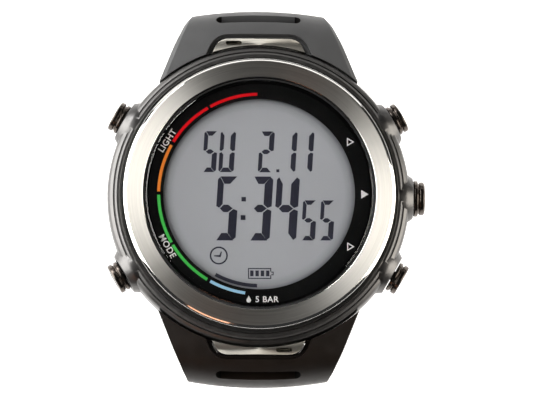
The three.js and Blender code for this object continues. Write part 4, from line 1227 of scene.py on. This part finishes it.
frame_outline = mirrored(frame_outline) + [(-x, y) for x, y in inner] + inner[::-1]
buckle_frame = drawn("buckle_u_frame", frame_outline, -FRAME_HALF, FRAME_HALF)
bevelled(buckle_frame, 0.45, 4, 50)
shaped(buckle_frame, [rod("hole", 0.9, 25, 0)])
settle(buckle_frame, on_bar)
fitted(smoothed(buckle_frame), buckle_steel, "buckle_frame", "buckle_frame")

prong_low, prong_top = 1.7, 3.0
prong = [(0, -0.2), (0, 1.5)]
prong += eased([(2, 1.72), (6, 2.35), (11.6, prong_top), (14.0, prong_top), (14.6, 2.4)])
prong += [(14.6, prong_low), (11.6, prong_low), (6, 0.72), (1.2, -0.2)]
tongue = drawn("buckle_pin_tongue", prong, -1.2, 1.2)
# Drawn in X and Y, and stood up so that its length lies along Y and its height along Z.
settle(tongue, Matrix(((0, 0, 1, 0), (1, 0, 0, 0), (0, 1, 0, 0), (0, 0, 0, 1))))
bevelled(tongue, 0.3, 3, 40)
shaped(tongue, [rod("ring", 1.5, 1.2, 0.25)], "UNION")
shaped(tongue, [rod("hole", 0.9, 25, 0)])
settle(tongue, on_bar)
fitted(smoothed(tongue), buckle_steel, "buckle_tongue", "buckle_tongue")

buckle_bar = settle(rod("buckle_cross_pin", 0.6, 12.6, 0.15), on_bar)
fitted(smoothed(buckle_bar), screw_steel, "strap_upper", "buckle_bar")


# ------------------------ inside
# The parts inside the case keep their own shapes: seals and clips, and the module of board,
# connectors, backlight, battery, sensor and buzzer that slips in from the back.

gilt = coat("gilt spring bronze", (0.72, 0.5, 0.2), 0.28, 1500, (0.2, 0.36), Metallic=1.0)
battery_steel = brushed_round("battery can steel", (0.66, 0.66, 0.64, 1), 0.4, 200)
backlight_film = finish("backlight film", Base_Color=(0.7, 0.79, 0.73, 1), Roughness=0.5)
vary(backlight_film, texture(backlight_film, 3000, kind="Voronoi"), "Roughness", 0.4, 0.6)
frame_plastic = coat("moulded frame plastic", (0.04, 0.043, 0.048), 0.55, 900, (0.48, 0.62))
roughen(frame_plastic, texture(frame_plastic, 4000), 0.2, 0.01)
board = finish("board laminate", Base_Color=(0.012, 0.1, 0.042, 1), Roughness=0.4)
weave = texture(board, 2400, kind="Checker")
vary(board, weave, "Base Color", (0.011, 0.09, 0.038, 1), (0.014, 0.112, 0.048, 1))
chip_black = coat("chip resin", (0.01, 0.01, 0.011), 0.5, 6000, (0.42, 0.58))
seals = ["lcd_connector_upper", "lcd_connector_lower", "pressure_sensor_seal", "bezel_gasket"]
seals += ["case_back_gasket", "hatch_seal"] + [f"{button}_button_seal" for button in BUTTON_ANGLES]
for slot, material, pieces in [
    ("battery_steel", battery_steel, ["battery"]),
    ("gilt_contact", gilt, ["battery_contact", "contact_plate", "buzzer_disc", "buzzer_spring"]),
    ("backlight_film", backlight_film, ["backlight_panel"]),
    ("frame_plastic", frame_plastic, ["module_frame"]),
    ("board_laminate", board, ["circuit_board"]),
    ("chip_black", chip_black, ["controller_chip"]),
    ("screw_steel", screw_steel, ["quartz_can", "pressure_sensor"]),
    ("seal_rubber", seal_rubber, seals),
    ("spring_steel", spring_steel, [f"{button}_button_clip" for button in BUTTON_ANGLES]),
]:
    for piece in pieces:
        made_of(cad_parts[piece], material)


# ------------------------ stage
# A pale floor under the hanging strap, a wide soft light on each side and a dim even room, and
# a long lens that looks down on the display, leaning a little to six o'clock.

floor_height = cad_size[0].z - 0.2 * MM
bpy.ops.object.select_all(action="DESELECT")
bpy.ops.mesh.primitive_plane_add(size=6, location=(0, 0, floor_height))
floor = bpy.context.object
floor.name = "floor"
glow = {"Emission_Color": (1, 1, 1, 1), "Emission_Strength": 0.45}
made_of(floor, finish("pale floor", Base_Color=(0.9, 0.9, 0.9, 1), Roughness=0.8, **glow))
floor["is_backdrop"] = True

target = Vector((0, 0, bezel_top * MM))


def soft_light(name, place, width, height, power, colour=(1, 1, 1)):
    """A rectangular soft box turned to the watch."""
    light = bpy.data.lights.new(name, "AREA")
    light.shape = "RECTANGLE"
    light.size, light.size_y = width, height
    light.energy = power
    light.color = colour
    box = bpy.data.objects.new(name, light)
    bpy.context.scene.collection.objects.link(box)
    box.location = place
    box.rotation_mode = "QUATERNION"
    box.rotation_quaternion = (target - Vector(place)).to_track_quat("-Z", "Y")


soft_light("left_box", (-0.8, 0.1, 0.42), 1.0, 1.0, 21, (1.0, 0.99, 0.97))
soft_light("right_box", (0.85, -0.08, 0.4), 0.8, 0.9, 10.5, (1.0, 0.95, 0.87))
soft_light("corner_box", (-0.5, 0.62, 0.5), 0.3, 0.3, 3.5)
soft_light("upper_strip", (0, 0.95, 0.28), 1.9, 0.14, 1.2, (1.0, 0.98, 0.95))
soft_light("warm_glint", (-0.312, -0.717, 0.459), 0.3, 0.12, 0.2, (1.0, 0.5, 0.3))
world = bpy.data.worlds.new("room")
bpy.context.scene.world = world
world.use_nodes = True
nodes, links = world.node_tree.nodes, world.node_tree.links
room = nodes["Background"]
room.inputs["Color"].default_value = (0.97, 0.98, 1.0, 1)
# The room itself is pale, but gives the watch only a little light, so that its steel stays deep.
sight = nodes.new("ShaderNodeLightPath")
span = nodes.new("ShaderNodeMapRange")
span.inputs["To Min"].default_value = 0.035
span.inputs["To Max"].default_value = 0.95
links.new(sight.outputs["Is Camera Ray"], span.inputs["Value"])
links.new(span.outputs["Result"], room.inputs["Strength"])
bpy.context.scene.view_settings.view_transform = "Standard"

camera = bpy.data.objects.new("camera", bpy.data.cameras.new("camera"))
bpy.context.scene.collection.objects.link(camera)
bpy.context.scene.camera = camera
back = Vector((-0.035, -0.122, 0.992)).normalized()
right = Vector((0, 1, 0)).cross(back).normalized()
up = back.cross(right)
LENS_DISTANCE, VIEW_WIDTH, SENSOR_WIDTH = 0.7, 0.08825, 36
aim = target + right * 1.134 * MM - up * 1.209 * MM
camera.matrix_world = Matrix.Translation(aim + back * LENS_DISTANCE) @ Matrix(
    (right, up, back)
).transposed().to_4x4()
camera.data.sensor_width = SENSOR_WIDTH
camera.data.lens = SENSOR_WIDTH * LENS_DISTANCE / VIEW_WIDTH
camera.data.clip_start = 0.05
camera.data.clip_end = 20

made_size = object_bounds()
str([[list(corner) for corner in size] for size in (cad_size, made_size)])
